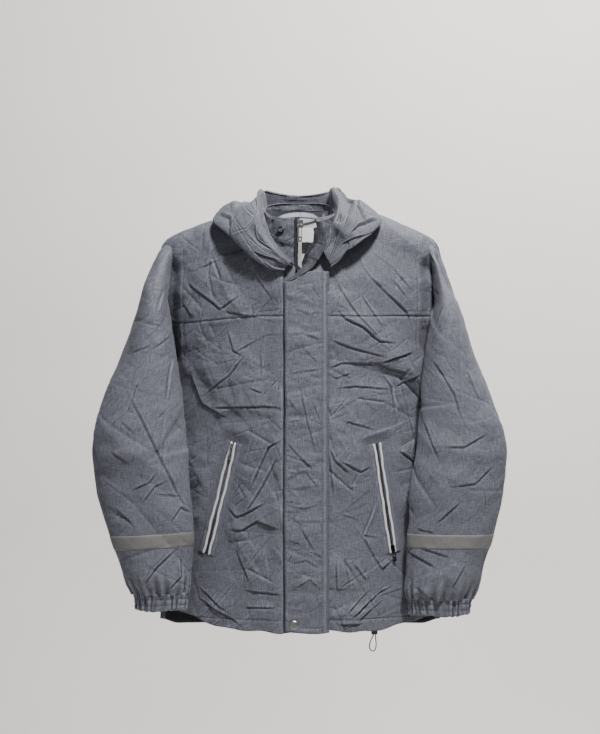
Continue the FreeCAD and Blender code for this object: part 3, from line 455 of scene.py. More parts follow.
class Nodes:
    """A short way to write a material's node tree."""

    def __init__(self, name):
        self.material = bpy.data.materials.new(name)
        self.material.use_nodes = True
        self.tree = self.material.node_tree
        self.shader = self.tree.nodes["Principled BSDF"]

    def new(self, kind, inputs=(), **settings):
        node = self.tree.nodes.new(kind)
        for key, value in settings.items():
            setattr(node, key, value)
        for key, value in dict(inputs).items():
            if isinstance(value, bpy.types.NodeSocket):
                self.tree.links.new(value, node.inputs[key])
            else:
                node.inputs[key].default_value = value
        return node

    def link(self, socket, name):
        self.tree.links.new(socket, self.shader.inputs[name])

    def value(self, **values):
        for key, value in values.items():
            self.shader.inputs[key.replace("_", " ")].default_value = value

    def coordinates(self, scale, turn=0.0, kind="UV"):
        where = self.new("ShaderNodeTexCoord")
        return self.new("ShaderNodeMapping", {
            "Vector": where.outputs[kind], "Scale": scale, "Rotation": (0, 0, turn)}).outputs["Vector"]

    def noise(self, vector, scale, detail=3.0, rough=0.55):
        return self.new("ShaderNodeTexNoise", {
            "Vector": vector, "Scale": scale, "Detail": detail, "Roughness": rough}).outputs["Fac"]

    def ramp(self, value, low, high, colour_low, colour_high):
        ramp = self.new("ShaderNodeValToRGB", {"Fac": value})
        ramp.color_ramp.elements[0].position, ramp.color_ramp.elements[1].position = low, high
        ramp.color_ramp.elements[0].color = (*colour_low, 1)
        ramp.color_ramp.elements[1].color = (*colour_high, 1)
        return ramp.outputs["Color"]

    def math(self, operation, a, b):
        return self.new("ShaderNodeMath", {0: a, 1: b}, operation=operation).outputs[0]

    def mix(self, factor, a, b, blend="MIX"):
        node = self.new("ShaderNodeMix", data_type="RGBA", blend_type=blend)
        for index, value in ((0, factor), (6, a), (7, b)):
            if isinstance(value, bpy.types.NodeSocket):
                self.tree.links.new(value, node.inputs[index])
            elif index == 0:
                node.inputs[0].default_value = value
            else:
                node.inputs[index].default_value = (*value, 1)
        return node.outputs[2]

    def bump(self, height, strength, distance, normal=None):
        inputs = {"Height": height, "Strength": strength, "Distance": distance}
        if normal is not None:
            inputs["Normal"] = normal
        return self.new("ShaderNodeBump", inputs).outputs["Normal"]


def cloth(name, dark, light, thread=0.0005, contrast=(0.38, 0.62), rough=0.78, sheen=0.15, crinkle=0.0,
          weave=0.25, wear_and_fold_shade=0.0):
    """Plain woven cloth: crossing streaks of two colours, with thread bump, fine crinkles, painted shade in its
    folds and ridges lightened as wear and painted highlight.
    """
    n = Nodes(name)
    fine = 1.0 / thread
    warp = n.noise(n.coordinates((fine * 0.50, fine * 0.045, 1)), 1.0, 2.0)
    weft = n.noise(n.coordinates((fine * 0.045, fine * 0.50, 1)), 1.0, 2.0)
    speck = n.noise(n.coordinates((fine * 0.35, fine * 0.35, 1)), 1.0, 4.0, 0.7)
    heather = n.math("ADD", n.math("MULTIPLY", warp, 0.38), n.math("MULTIPLY", weft, 0.27))
    heather = n.math("ADD", heather, n.math("MULTIPLY", speck, 0.35))
    colour = n.ramp(heather, contrast[0], contrast[1], dark, light)
    blotch = n.noise(n.coordinates((7, 7, 1)), 1.0, 4.0)
    shade = n.ramp(blotch, 0.3, 0.7, (0.88, 0.87, 0.89), (1.0, 1.0, 1.0))
    colour = n.mix(1.0, colour, shade, "MULTIPLY")
    # Painted shade: the crease attribute darkens the cloth where it sinks into a fold and lightens it on ridges,
    # as wear and painted highlight.
    if wear_and_fold_shade:
        crease = n.new("ShaderNodeAttribute", attribute_name="crease").outputs["Fac"]
        low, high = 1.0 - wear_and_fold_shade, 1.0 + wear_and_fold_shade * 0.9
        tone = n.new("ShaderNodeMapRange", {
            "Value": crease, "From Min": 0.15, "From Max": 0.85, "To Min": low, "To Max": high}).outputs[0]
        colour = n.mix(1.0, colour, n.new("ShaderNodeCombineColor", {
            "Red": tone, "Green": tone, "Blue": tone}).outputs["Color"], "MULTIPLY")
    n.link(colour, "Base Color")
    u, v = (n.new("ShaderNodeTexWave", {"Vector": n.coordinates((1, 1, 1)), "Scale": fine * 0.16},
                  bands_direction=way) for way in "XY")
    threads = n.math("ADD", u.outputs["Fac"], v.outputs["Fac"])
    normal = n.bump(n.math("ADD", threads, speck), weave, thread * 0.4)
    if crinkle:
        small = n.noise(n.coordinates((95, 95, 1)), 1.0, 5.0, 0.62)
        cells = n.new("ShaderNodeTexVoronoi", {
            "Vector": n.coordinates((48, 80, 1), 0.5), "Scale": 1.0, "Randomness": 1.0},
            feature="DISTANCE_TO_EDGE")
        edge = n.math("MINIMUM", cells.outputs["Distance"], 0.10)
        normal = n.bump(n.math("ADD", small, n.math("MULTIPLY", edge, 3.0)), crinkle, 0.0008, normal)
    n.link(normal, "Normal")
    n.value(Roughness=rough, Sheen_Weight=sheen, Sheen_Roughness=0.45)
    n.shader.inputs["Specular IOR Level"].default_value = 0.3
    return n.material


def metal(name, colour, rough, wear_and_fold_shade=0.25, scale=180.0):
    """Plated metal with fine scratches and duller, darker patches."""
    n = Nodes(name)
    where = n.coordinates((scale, scale, scale), kind="Object")
    patches = n.noise(where, 1.6, 5.0, 0.65)
    scratch = n.noise(n.coordinates((scale * 10, scale, scale), kind="Object"), 1.0, 2.0)
    dull = tuple(c * (1 - wear_and_fold_shade) for c in colour)
    n.link(n.ramp(patches, 0.35, 0.65, dull, colour), "Base Color")
    n.link(n.new("ShaderNodeMapRange", {
        "Value": n.math("ADD", n.math("MULTIPLY", patches, 0.6), n.math("MULTIPLY", scratch, 0.4)),
        "From Min": 0.3, "From Max": 0.7, "To Min": rough * 0.7, "To Max": rough * 1.4}).outputs[0], "Roughness")
    n.link(n.bump(scratch, 0.12, 0.00008), "Normal")
    n.value(Metallic=1.0)
    return n.material


def plastic(name, colour, rough=0.42, scale=260.0):
    """Moulded plastic with a faint grain."""
    n = Nodes(name)
    grain = n.noise(n.coordinates((scale, scale, scale), kind="Object"), 3.0, 4.0, 0.6)
    lighter = tuple(min(1.0, c * 1.35 + 0.004) for c in colour)
    n.link(n.ramp(grain, 0.35, 0.7, colour, lighter), "Base Color")
    n.link(n.new("ShaderNodeMapRange", {
        "Value": grain, "From Min": 0.3, "From Max": 0.7,
        "To Min": rough * 0.85, "To Max": rough * 1.2}).outputs[0], "Roughness")
    n.link(n.bump(grain, 0.15, 0.00006), "Normal")
    return n.material


# The last setting paints shade into the folds of the shell and hood cloth and lightens their ridges.
SHELL_WEAVE = dict(thread=0.00062, contrast=(0.35, 0.65), rough=0.66, sheen=0.08, crinkle=0.45, weave=0.3,
                   wear_and_fold_shade=0.55)
SHELL = cloth("shell cloth", (0.057, 0.0595, 0.0775), (0.228, 0.235, 0.284), **SHELL_WEAVE)
# The same shell cloth, about a sixth darker, as painted shade on the hood and the collar.
SHADED_SHELL_CLOTH = cloth("hood cloth", (0.045, 0.047, 0.061), (0.190, 0.196, 0.237), **SHELL_WEAVE)
LINING = cloth("lining knit", (0.58, 0.58, 0.64), (0.76, 0.76, 0.83), 0.0009, rough=0.9, sheen=0.3, weave=0.4)
# The shell's colours at about half their brightness, as painted shade on the rolled lapel.
SHADED_LAPEL_CLOTH = cloth("front facing", (0.026, 0.027, 0.035), (0.120, 0.123, 0.148), 0.00062, (0.35, 0.65), 0.7,
               weave=0.5)
DARK_CLOTH = cloth("hem facing", (0.010, 0.011, 0.014), (0.035, 0.037, 0.045), 0.0008, rough=0.85)
ZIP_TAPE = cloth("zip tape", (0.014, 0.015, 0.020), (0.045, 0.048, 0.060), 0.0007, rough=0.8, weave=0.6)
BAND = cloth("reflective band", (0.165, 0.165, 0.165), (0.215, 0.213, 0.208), 0.0006, rough=0.5, sheen=0.0,
             weave=0.35)
PIPING = cloth("reflective piping", (0.70, 0.71, 0.73), (0.86, 0.87, 0.88), 0.0005, rough=0.45, sheen=0.0,
               weave=0.35)
PULL_TAPE = cloth("pull tape", (0.34, 0.34, 0.34), (0.60, 0.60, 0.59), 0.0006, rough=0.7, weave=0.6)
LABEL = cloth("blank label", (0.84, 0.84, 0.81), (0.94, 0.94, 0.91), 0.0005, rough=0.75, weave=0.45)
DARK_LABEL = cloth("blank size tab", (0.012, 0.012, 0.014), (0.03, 0.03, 0.034), 0.0005, rough=0.7, weave=0.45)
HOOK = cloth("hook and loop", (0.012, 0.013, 0.016), (0.05, 0.052, 0.06), 0.0015, rough=0.95, sheen=0.6,
             weave=1.0)
THREAD = cloth("thread", (0.060, 0.066, 0.085), (0.20, 0.215, 0.25), 0.0004, rough=0.6, weave=0.3)
CORD = cloth("black cord", (0.004, 0.004, 0.005), (0.018, 0.018, 0.020), 0.0007, rough=0.6, weave=0.8)
COIL = plastic("coil nylon", (0.016, 0.017, 0.020), 0.38)
BLACK_PLASTIC = plastic("black plastic", (0.012, 0.012, 0.013), 0.5)
NICKEL = metal("nickel plate", (0.66, 0.65, 0.63), 0.24)
BRUSHED = metal("brushed snap", (0.50, 0.49, 0.47), 0.36)
DARK_METAL = metal("dark plate", (0.06, 0.06, 0.065), 0.33)


# ---------------------------------------------------------------- torso crumple

def more_at_left(x, z):
    """More on the side of the wearer's left, less on the other."""
    return 0.35 + 0.65 * smooth(-30, 60, x)


def more_at_right(x, z):
    """More on the side of the wearer's right, less on the other."""
    return 0.25 + 0.75 * smooth(30, -60, x)


def low_part(x, z):
    """More on the lower half."""
    return 0.55 + 0.45 * smooth(-180, -380, z)


# Creases drawn on the torso's front: (across, up) points, then height.
FRONT_FOLDS = [
    ([(-183, -107), (-127, -150), (-96, -128)], 3.2), ([(-127, -153), (-69, -165), (-27, -175)], 2.4),
    ([(-164, -84), (-132, -71)], 2.2), ([(-115, -187), (-105, -219), (-91, -226)], 2.4),
    ([(-105, -220), (-54, -192), (-27, -192)], 3.0), ([(-157, -290), (-115, -258), (-91, -226)], 2.4),
    ([(-178, -253), (-157, -305), (-115, -327)], 4.2), ([(-79, -278), (-59, -286)], 2.2),
    ([(-145, -310), (-56, -307), (-25, -310)], 2.6), ([(-61, -207), (-59, -265)], 1.6),
    ([(-30, -361), (-52, -373), (-69, -412), (-81, -439)], 4.0),
    ([(-39, -390), (-61, -434), (-91, -483)], 3.4),
    ([(-123, -463), (-101, -485), (-86, -478), (-59, -463)], 3.6),
    ([(-115, -506), (-93, -506), (-69, -491), (-27, -507)], 4.4), ([(-131, -515), (-102, -531)], 2.6),
    ([(-105, -532), (-79, -591)], 2.8), ([(-174, -576), (-162, -620), (-101, -654), (-88, -662)], 3.6),
    ([(-101, -602), (-27, -608)], 2.4), ([(-91, -630), (-37, -629)], 2.2),
    ([(-165, -600), (-115, -640)], 2.6),
    ([(95, -50), (105, -84), (120, -104), (139, -123), (174, -155), (188, -185)], 4.2),
    ([(115, -55), (154, -84), (181, -119)], 3.0),
    ([(61, -153), (73, -167), (100, -180), (125, -202), (154, -205)], 4.2),
    ([(61, -109), (81, -143), (95, -163), (130, -202)], 3.0), ([(100, -128), (120, -158), (135, -182)], 2.8),
    ([(125, -239), (147, -229), (183, -220)], 4.0), ([(125, -239), (144, -247), (171, -254)], 3.4),
    ([(46, -199), (78, -212), (139, -229)], 2.6), ([(41, -248), (66, -238), (125, -239)], 3.0),
    ([(41, -253), (59, -262), (83, -253)], 2.8), ([(54, -278), (90, -275), (149, -280)], 2.6),
    ([(135, -256), (149, -278), (156, -329)], 3.4), ([(152, -276), (190, -256)], 2.6),
    ([(46, -302), (54, -329)], 1.8), ([(43, -360), (50, -400), (57, -459)], 2.6),
    ([(48, -373), (57, -395), (82, -417)], 3.0), ([(65, -395), (97, -412), (119, -402)], 3.4),
    ([(128, -456), (104, -515), (136, -520)], 4.4),
    ([(89, -500), (104, -520), (133, -569), (160, -549)], 4.6),
    ([(82, -647), (128, -608), (150, -598)], 6.2), ([(92, -652), (134, -620)], 4.8),
    ([(74, -640), (112, -602)], 4.0),
    ([(62, -657), (99, -657)], 4.0), ([(60, -560), (62, -610)], 2.4), ([(122, -615), (170, -602)], 3.4),
    ([(88, -560), (110, -590)], 3.0), ([(66, -480), (96, -490)], 2.6), ([(160, -380), (188, -400)], 3.6),
    ([(150, -100), (172, -130)], 2.2),
    ([(-190, -140), (-170, -165)], 2.4), ([(-70, -95), (-40, -140)], 1.6), ([(70, -330), (120, -345)], 2.2),
]


def torso_map(seed, front):
    """The crumple of the torso's front or back."""
    c = Crumple((-250, -700), (250, 50), seed, 1.6)
    c.waves(190, 60, 2.6, low_part)
    if front:
        c.facets(120, 46, -42, 3.6, 1.2, 1.3, more_at_left)
        c.facets(110, 50, 32, 2.8, 0.9, 1.3, more_at_right)
    else:
        c.facets(130, 52, -50, 3.2, 1.2, 1.5)
        c.facets(110, 50, 40, 2.8, 1.0, 1.5)
    c.facets(58, 26, 12, 1.7, 1.0, 1.2, low_part)
    c.facets(40, 17, -65, 0.9, 0.7, 1.1)
    c.soften(1)
    c.facets(22, 10, 30, 0.30, 0.40, 0.9)
    if front:
        for points, height in FRONT_FOLDS:
            c.fold(points, height * 1.25, 1.25, 11.0)
    return c


FRONT = torso_map(11, True)
BACK = torso_map(12, False)
# The top and the lower end of each pocket zip, across and up.
POCKETS = {"right": ((-107, -367), (-152, -549)), "left": ((124, -369), (151, -547))}
GUIDE_X = 120.0  # where the hem cord comes out


def line_distance(x, z, ends):
    """Distance to the line through both ends, and how far along it the place is, 0 to 1."""
    (x0, z0), (x1, z1) = ends
    run = math.hypot(x1 - x0, z1 - z0)
    dx, dz = (x1 - x0) / run, (z1 - z0) / run
    along = (x - x0) * dx + (z - z0) * dz
    return np.abs((x - x0) * -dz + (z - z0) * dx), along / run


def front_height(x, z):
    """How far the front cloth stands out from its base form."""
    h = FRONT.at(x, z) + 1.0
    h = np.where(h < -0.8, -0.8 + (h + 0.8) * 0.28, h)  # folds sink less than ridges rise
    for ends in POCKETS.values():  # calm and a little sunk beside the pocket zips
        away, share = line_distance(x, z, ends)
        beside = smooth(34, 10, away) * smooth(-0.12, 0.0, share) * smooth(1.12, 1.0, share)
        h = h * (1 - 0.93 * beside) - 1.6 * beside
    h = h * (1 - 0.75 * smooth(30, 8, np.abs(x)))  # calm under the storm flap
    under_arm = smooth(-262, -215, z) * smooth(-50, -85, z)
    h = h + 3.0 * smooth(-54, -32, x) * smooth(-20, -25, x)
    patches = smooth(-28, -25, x) * smooth(-7, -10, x)  # the loop patches lie on smooth cloth
    h = h - patches * np.maximum(h - 0.3, 0)
    h = h - 9.0 * under_arm * smooth(191, 213, np.abs(x))
    h = h - 0.8 * under_arm * bell(np.abs(x) - 190, 1.3)
    over_yoke = z - YOKE_SEAM - yoke_rise(x)
    h = h - 1.1 * bell(over_yoke, 1.6)
    h = h + 0.5 * bell(over_yoke - 4, 2.4)
    pucker = smooth(HEM + 46, HEM + 8, z)
    ripple = np.sin(x / 4.3 + 1.7 * np.sin(x / 23.0)) * (0.5 + 0.5 * np.sin(x / 37.0 + 1.0))
    gather = bell(x - GUIDE_X, 30.0)
    h = h + pucker * (0.9 + 1.5 * gather) * ripple
    return h - 0.9 * bell(z - HEM - HEM_STITCH, 1.5)


def back_height(x, z):
    """How far the back cloth stands out from its base form."""
    h = BACK.at(x, z) * 0.8 + 1.4
    h = np.where(h < -0.6, -0.6 + (h + 0.6) * 0.2, h)
    return h - 1.0 * bell(z - YOKE_SEAM, 1.6)


def yoke_rise(x):
    """The yoke seam climbs a little to the wearer's left side and drops to the right one."""
    return 4.0 * smooth(60, 190, np.abs(x)) * np.where(x > 0, 0.3, -2.2)


def hem_lift(x, front):
    """How far the hem hangs above its lowest level, towards the side seams."""
    if not front:
        return 2.0 + 9.0 * smooth(200, 232, np.abs(x))
    right = 26 * smooth(-90, -215, x)
    left = 16 * smooth(132, 215, x)
    wave = 2.0 + 1.6 * np.sin(x / 19.0) + 1.2 * np.sin(x / 8.7 + 2.0)
    return right + left + wave * (1 - bell(x - GUIDE_X, 16.0))


def neck_inner(z):
    """How far the neck's ellipse reaches across the front and across the back at each height."""
    count = 61
    x = np.linspace(0, NECK_ACROSS, count)[None, :]
    zz = np.asarray(z, float).reshape(-1, 1)
    out = []
    for front in (True, False):
        y = torso_y(x, zz, front)
        inside = (x / NECK_ACROSS) ** 2 + ((y - NECK_CENTRE) / NECK_DEEP) ** 2 < 1
        out.append(np.where(inside.any(axis=1), NECK_ACROSS * inside.sum(axis=1) / count, 0.0))
    return out


def cloth_level(x, z, front):
    """The real height of a place on the cloth: the hem's rise, and on the front the yoke seam's slant."""
    z = z + smooth(-560, HEM, z) * hem_lift(x, front)
    if front:
        z = z + yoke_rise(x) * bell(z - YOKE_SEAM, 45.0)
    return z


def torso_grid(side, z_low, z_high, front, step, inner, outer=SIDE_REACH, inset=0.0, arm=UNDERARM):
    """Points, cloth coordinates and x, z of a torso panel, from its middle edge out to its side."""
    rows = max(int((z_high - z_low) / step), 4)
    z = np.linspace(z_high, z_low, rows + 1)
    neck = neck_inner(z)[0 if front else 1]
    start = np.maximum(neck, inner)
    half = torso_half(z, inset)
    closed = smooth(arm, arm - 25, z)
    if outer > ARMHOLE:
        closed = np.maximum(closed, smooth(-104, -84, z))
    stop = np.minimum(half, outer) * (1 - closed) + half * closed
    stop = np.maximum(stop, start + 0.5)
    cols = max(int(230 / step), 8)
    t = np.linspace(0, 1, cols + 1)[None, :]
    x = start[:, None] * (1 - t) + stop[:, None] * t
    x = x * SIGN[side]
    zz = cloth_level(x, np.repeat(z[:, None], cols + 1, axis=1), front)
    y = torso_y(x, zz, front, inset)
    points = np.stack([x, y, zz], axis=-1)
    steps = np.hypot(np.diff(x, axis=1), np.diff(y, axis=1))
    arc = np.concatenate([np.zeros((rows + 1, 1)), np.cumsum(steps, axis=1)], 1)
    uv = np.stack([(arc + np.abs(x[:, :1])) * np.sign(x[:, -1:]) * MM, zz * MM], axis=-1)
    return points, uv, x, zz


def close_sides(x, half):
    """1 over the cloth, 0 at the side seam."""
    return smooth(0, 10, half - np.abs(x))


def panel(side, z_low, z_high, front, step=1.85, inner=0.0):
    """The points and cloth coordinates of one crumpled panel of the shell's torso."""
    points, uv, x, z = torso_grid(side, z_low, z_high, front, step, inner)
    h = front_height(x, z) if front else back_height(uv[..., 0] / MM * 0.86, z)
    h = h * close_sides(x, torso_half(z))
    outward = FRONTWARD if front else BACKWARD
    points = points + grid_normals(points, outward) * h[..., None]
    return points, uv


def attach(obj, body=ROOT, nodes=()):
    """Rides a piece on its body and hides the CAD parts that it stands for."""
    if body:
        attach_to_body(obj, body)
    if nodes:
        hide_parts(*nodes)


def declare(obj, flat, body=ROOT, nodes=(), area=None):
    """Attaches a sheet of cloth as attach does; its flat size only bounds an area that is then left unused."""
    if area is not None:
        area = min(max(area, 0.31 * flat[0] * flat[1]), 0.999 * flat[0] * flat[1])
    attach(obj, body, nodes)


def surface_area(points):
    """The area of a grid in square metres."""
    a = points[1:, :-1] - points[:-1, :-1]
    b = points[:-1, 1:] - points[:-1, :-1]
    return float(np.linalg.norm(np.cross(a, b), axis=2).sum()) * MM * MM


def torso():
    """The front panels and yokes, the back panel and the back yoke."""
    cut_share = 0.98  # the flat cloth is this much of the crumpled surface
    fronts = (("panel", HEM, YOKE_SEAM, (0.270, 0.530), 0.142),
              ("yoke", YOKE_SEAM, SHOULDER, (0.250, 0.220), 0.054))
    for side in SIDES:
        for part, low, high, flat, most in fronts:
            points, uv = panel(side, low, high, True, inner=FRONT_EDGE)
            obj = grid_mesh(f"{side}_front_{part}_cloth", points, uv, SHELL)
            area = min(surface_area(points) * cut_share, most)
            declare(obj, flat, nodes=(f"{side}_front_{part}",), area=area)
    backs = (("back_panel", HEM, YOKE_SEAM, (0.480, 0.530)), ("back_yoke", YOKE_SEAM, SHOULDER, (0.500, 0.220)))
    for name, low, high, flat in backs:
        right, left = (panel(side, low, high, False, 2.6) for side in SIDES)
        points = np.concatenate([right[0][:, ::-1], left[0][:, 1:]], axis=1)
        uv = np.concatenate([right[1][:, ::-1], left[1][:, 1:]], axis=1)
        keep = None
        if name == "back_yoke":
            bare = np.abs(right[0][:, 0, 0]) > 1.0
            points, uv, keep = split_neck(points, uv, right[0].shape[1] - 1, bare)
        obj = grid_mesh(f"{name}_cloth", points, uv, SHELL, keep=keep, outward=BACKWARD)
        declare(obj, flat, nodes=(name,), area=min(surface_area(points) * cut_share, flat[0] * flat[1]))


def split_neck(points, uv, middle, bare):
    """Opens the middle of a grid where the neckline is, so that no face crosses the neck."""
    points = np.insert(points, middle + 1, points[:, middle + 1], axis=1)
    uv = np.insert(uv, middle + 1, uv[:, middle + 1], axis=1)
    keep = np.ones(points.shape[:2], bool)
    keep[bare, middle + 1] = False
    return points, uv, keep


torso()


# ---------------------------------------------------------------- sleeves

SLEEVE_FOLDS = {
    "right": [
        ([(272, -287), (250, -331), (194, -449), (181, -476)], 4.2), ([(250, -172), (223, -177)], 2.4),
        ([(272, -221), (240, -209)], 2.6), ([(233, -212), (213, -194)], 2.6),
        ([(270, -441), (243, -429), (233, -414)], 3.2), ([(255, -463), (235, -436), (216, -427)], 3.0),
        ([(230, -447), (194, -451)], 2.6), ([(211, -493), (194, -468), (174, -480)], 3.4),
        ([(250, -591), (230, -564), (201, -537)], 4.6), ([(194, -551), (194, -581), (213, -600)], 4.6),
        ([(300, -380), (270, -400)], 2.8), ([(296, -470), (262, -500)], 2.4),
        ([(220, -120), (232, -160)], 2.6),
        ([(205, -230), (214, -300)], 3.2), ([(285, -330), (262, -352)], 2.2),
    ],
    "left": [
        ([(217, -495), (256, -459)], 3.4), ([(187, -503), (217, -510)], 2.6),
        ([(170, -539), (219, -564)], 3.6),
        ([(192, -534), (243, -549)], 3.0), ([(187, -588), (224, -615), (243, -614)], 4.4),
        ([(215, -230), (250, -290), (262, -330)], 3.2), ([(300, -350), (262, -372), (230, -372)], 3.6),
        ([(310, -400), (280, -430), (240, -436)], 3.2), ([(232, -150), (215, -205)], 2.8),
        ([(270, -250), (292, -300)], 2.6), ([(200, -330), (225, -395)], 3.0),
        ([(262, -560), (240, -592)], 3.0),
    ],
}


def sleeve_form(side, z, angle, inset=0.0):
    """A point of the sleeve's base form; angle 0 is its outer edge and the front comes at a quarter turn."""
    inner, outer, centre, deep = table(SLEEVE[side], z, SLEEVE_BLUR)
    head = np.sqrt(1 - np.clip((z + 52) / 11.05, 0, 1) ** 2)
    half = ((outer - inner) / 2 - inset) * head
    deep = deep * head
    middle = (outer + inner) / 2
    lean = 1.0 - 0.16 * np.abs(np.cos(angle)) ** 3
    x = middle + half * np.cos(angle)
    y = centre - (deep - inset) * np.sin(angle) * lean
    return np.stack([x * SIGN[side], y, z * np.ones_like(x)], axis=-1), x


def sleeve_outward(side):
    """The way out from the sleeve's middle line, for its normals."""
    def outward(p):
        inner, outer, centre, _ = table(SLEEVE[side], p[..., 2], SLEEVE_BLUR)
        return p - np.stack([(inner + outer) / 2 * SIGN[side], centre, p[..., 2]], axis=-1)
    return outward


def sleeve_crumple(side):
    """The crumple all round a sleeve, over its arc and height."""
    c = Crumple((-40, -660), (480, -30), 21 if side == "right" else 22, 1.7)
    c.waves(170, 75, 1.6)
    c.facets(120, 52, -58, 2.4, 0.8, 1.3)
    c.facets(80, 40, 35, 1.5, 0.6, 1.3)
    c.facets(44, 20, -10, 0.6, 0.5, 1.1)
    c.soften(2)
    c.facets(22, 11, 60, 0.22, 0.3, 0.9)
    return c


def front_folds(side):
    """Folds drawn on the sleeve's front, in reach from the middle and height."""
    c = Crumple((150, -660), (340, -30), 31, 1.7)
    for points, height in SLEEVE_FOLDS[side]:
        c.fold(points, height, 1.3, 12.0, -0.35 if side == "left" else 0.35)
    return c


def sleeve_surface(side, z, angle, maps):
    """Displaced sleeve points over grids of height and angle."""
    points, x = sleeve_form(side, z, angle)
    steps = np.linalg.norm(np.diff(points[..., :2], axis=1), axis=2)
    arc = np.concatenate([np.zeros((len(z), 1)), np.cumsum(steps, 1)], 1)
    h = maps[0].at(arc, z)
    seam = smooth(0, 0.35, angle) * smooth(2 * math.pi, 2 * math.pi - 0.35, angle)
    h = h * (0.2 + 0.8 * seam)
    facing = smooth(0.1, 0.5, np.sin(angle))
    h = h + maps[1].at(np.abs(x), z) * facing
    gather = smooth(CUFF_TOP + 44, CUFF_TOP + 2, z)
    pleats = np.sin(angle * 13 + 1.9 * np.sin(angle * 3.0)) * 0.8 + 0.4 * np.sin(angle * 23 + 1.0)
    h = h * (1 - 0.6 * smooth(CUFF_TOP + 14, CUFF_TOP, z)) + gather * 2.6 * pleats
    h = h + 3.2 * smooth(CUFF_TOP + 60, CUFF_TOP + 22, z) * smooth(CUFF_TOP - 2, CUFF_TOP + 16, z)
    elbow = bell(z - ELBOW, ELBOW_REACH) * smooth(0.1, 0.8, np.sin(angle))
    h = h + 1.4 * elbow * np.sin((z - ELBOW) / 9.0 + 2.2 * np.cos(angle))
    h = h * smooth(-42, -70, z)
    outward = sleeve_outward(side)
    normals = grid_normals(points, outward)
    points = points + normals * h[..., None]
    points[..., 2] -= cuff_drop(side) * smooth(CUFF_TOP + 70, CUFF_TOP, z)
    return points, arc, normals, outward


def cuff_drop(side):
    """The wearer's left cuff hangs a little lower than the right one."""
    return 8.0 if side == "left" else 0.0


def turn_angles(cols):
    """Angles once round a sleeve."""
    angle = np.linspace(0, 2 * math.pi, cols, endpoint=False)[None, :] + math.pi * 1.5
    return np.sort(np.mod(angle, 2 * math.pi), axis=1)


def sleeves():
    """Both sleeves, bending at the elbow, with their bands and cuffs."""
    top, low = -41.0, CUFF_TOP - 1
    rows = int((top - low) / 2.2)
    for side in SIDES:
        maps = (sleeve_crumple(side), front_folds(side))
        z = np.linspace(top, low, rows + 1)[:, None]
        angle = turn_angles(190) + np.zeros_like(z)
        z = z + np.zeros_like(angle)
        points, arc, _, outward = sleeve_surface(side, z, angle, maps)
        reach = np.abs(points[..., 0])  # the part of the head that lies inside the torso is left out
        inside = (reach < 224) & (z > -262) & (points[..., 1] > torso_y(reach, z, True) + 9)
        inside &= points[..., 1] < torso_y(reach, z, False) - 5
        uv = np.stack([arc * MM, z * MM], axis=-1)
        obj = grid_mesh(f"{side}_sleeve_cloth", points, uv, SHELL, closed=True, keep=~inside, outward=outward)
        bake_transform(obj)
        declare(obj, (0.360, 0.590), body=None, nodes=(f"{side}_upper_sleeve", f"{side}_lower_sleeve"),
                area=0.172)
        band(side, maps)
        cuff(side)


def band(side, maps):
    """The reflective band sewn round the forearm, a little higher at its inner edge."""
    high, low, cols = -515.0, -538.0, 150
    z = np.linspace(high, low, 10)[:, None]
    angle = turn_angles(cols) + np.zeros_like(z)
    tilt = 3.5 if side == "right" else 0.5
    zz = z - tilt * np.cos(angle)
    points, arc, normals, outward = sleeve_surface(side, zz, angle, maps)
    edge = np.minimum(smooth(high + 0.1, high - 2.6, z), smooth(low - 0.1, low + 2.6, z))
    points = points + normals * (0.25 + 0.45 * edge)[..., None]
    uv = np.stack([arc * MM, zz * MM], axis=-1)
    obj = grid_mesh(f"{side}_reflective_band_tape", points, uv, BAND, closed=True, thickness=0.3,
                    outward=outward)
    declare(obj, (0.350, 0.023), f"{side}_forearm", (f"{side}_reflective_band",))


def cuff(side):
    """The gathered cuff: ribs of cloth over sewn rows of elastic."""
    rows, cols = 26, 260
    t = np.linspace(0, 1, rows)[:, None]
    z = CUFF_TOP + 3 - t * 30.0 + np.zeros((1, cols))
    angle = np.linspace(0, 2 * math.pi, cols, endpoint=False)[None, :] + np.zeros_like(z)
    rng = np.random.default_rng(41 if side == "right" else 42)
    phase = sum(rng.uniform(0.3, 0.9) * np.sin(angle * k + rng.uniform(0, 6.3)) for k in (2, 3, 5, 7))
    ribs = 0.5 + 0.5 * np.sin(angle * 15 + 2.6 * phase)
    small = np.sin(angle * 38 + 3.0 * phase + 5 * t)
    channels = np.abs(np.sin(t * math.pi * 3))
    h = -1.4 + (0.62 + 0.38 * channels ** 0.6) * (0.9 + 3.0 * ribs ** 1.1 + 0.4 * small)
    roll = np.minimum(smooth(0, 0.06, t), smooth(1, 0.92, t))
    h = h * roll - 1.6 * (1 - roll)
    points, _ = sleeve_form(side, z, angle, 2.0)
    outward = sleeve_outward(side)
    points = points + grid_normals(points, outward) * h[..., None]
    frill = 0.7 * np.sin(angle * 15 + 2.6 * phase) * (t > 0.9)
    points[..., 2] += 1.2 * np.sin(angle * 3 + 1.0) * t - cuff_drop(side) + frill
    uv = np.stack([angle * 0.045, z * MM], axis=-1)
    obj = grid_mesh(f"{side}_cuff_cloth", points, uv, SHELL, closed=True, thickness=0.9, outward=outward)
    declare(obj, (0.290, 0.034), f"{side}_forearm", (f"{side}_cuff", f"{side}_cuff_elastic"))


sleeves()


# ---------------------------------------------------------------- places on the front cloth

def front_place(x, z, lift=0.0):
    """Points on the crumpled front (z is before the hem's rise), lifted off the cloth, and their normals."""
    x, z = np.asarray(x, float), np.asarray(z, float)

    def place(xx, zz):
        risen = cloth_level(xx, zz, True)
        h = front_height(xx, risen) * close_sides(xx, torso_half(risen))
        return np.stack([xx, torso_y(xx, risen, True) - h, risen], axis=-1)

    e = 1.5
    p = place(x, z)
    normal = np.cross(place(x + e, z) - place(x - e, z), place(x, z + e) - place(x, z - e))
    normal /= np.linalg.norm(normal, axis=-1, keepdims=True)
    normal *= -np.sign(normal[..., 1:2])
    return p + normal * lift, normal


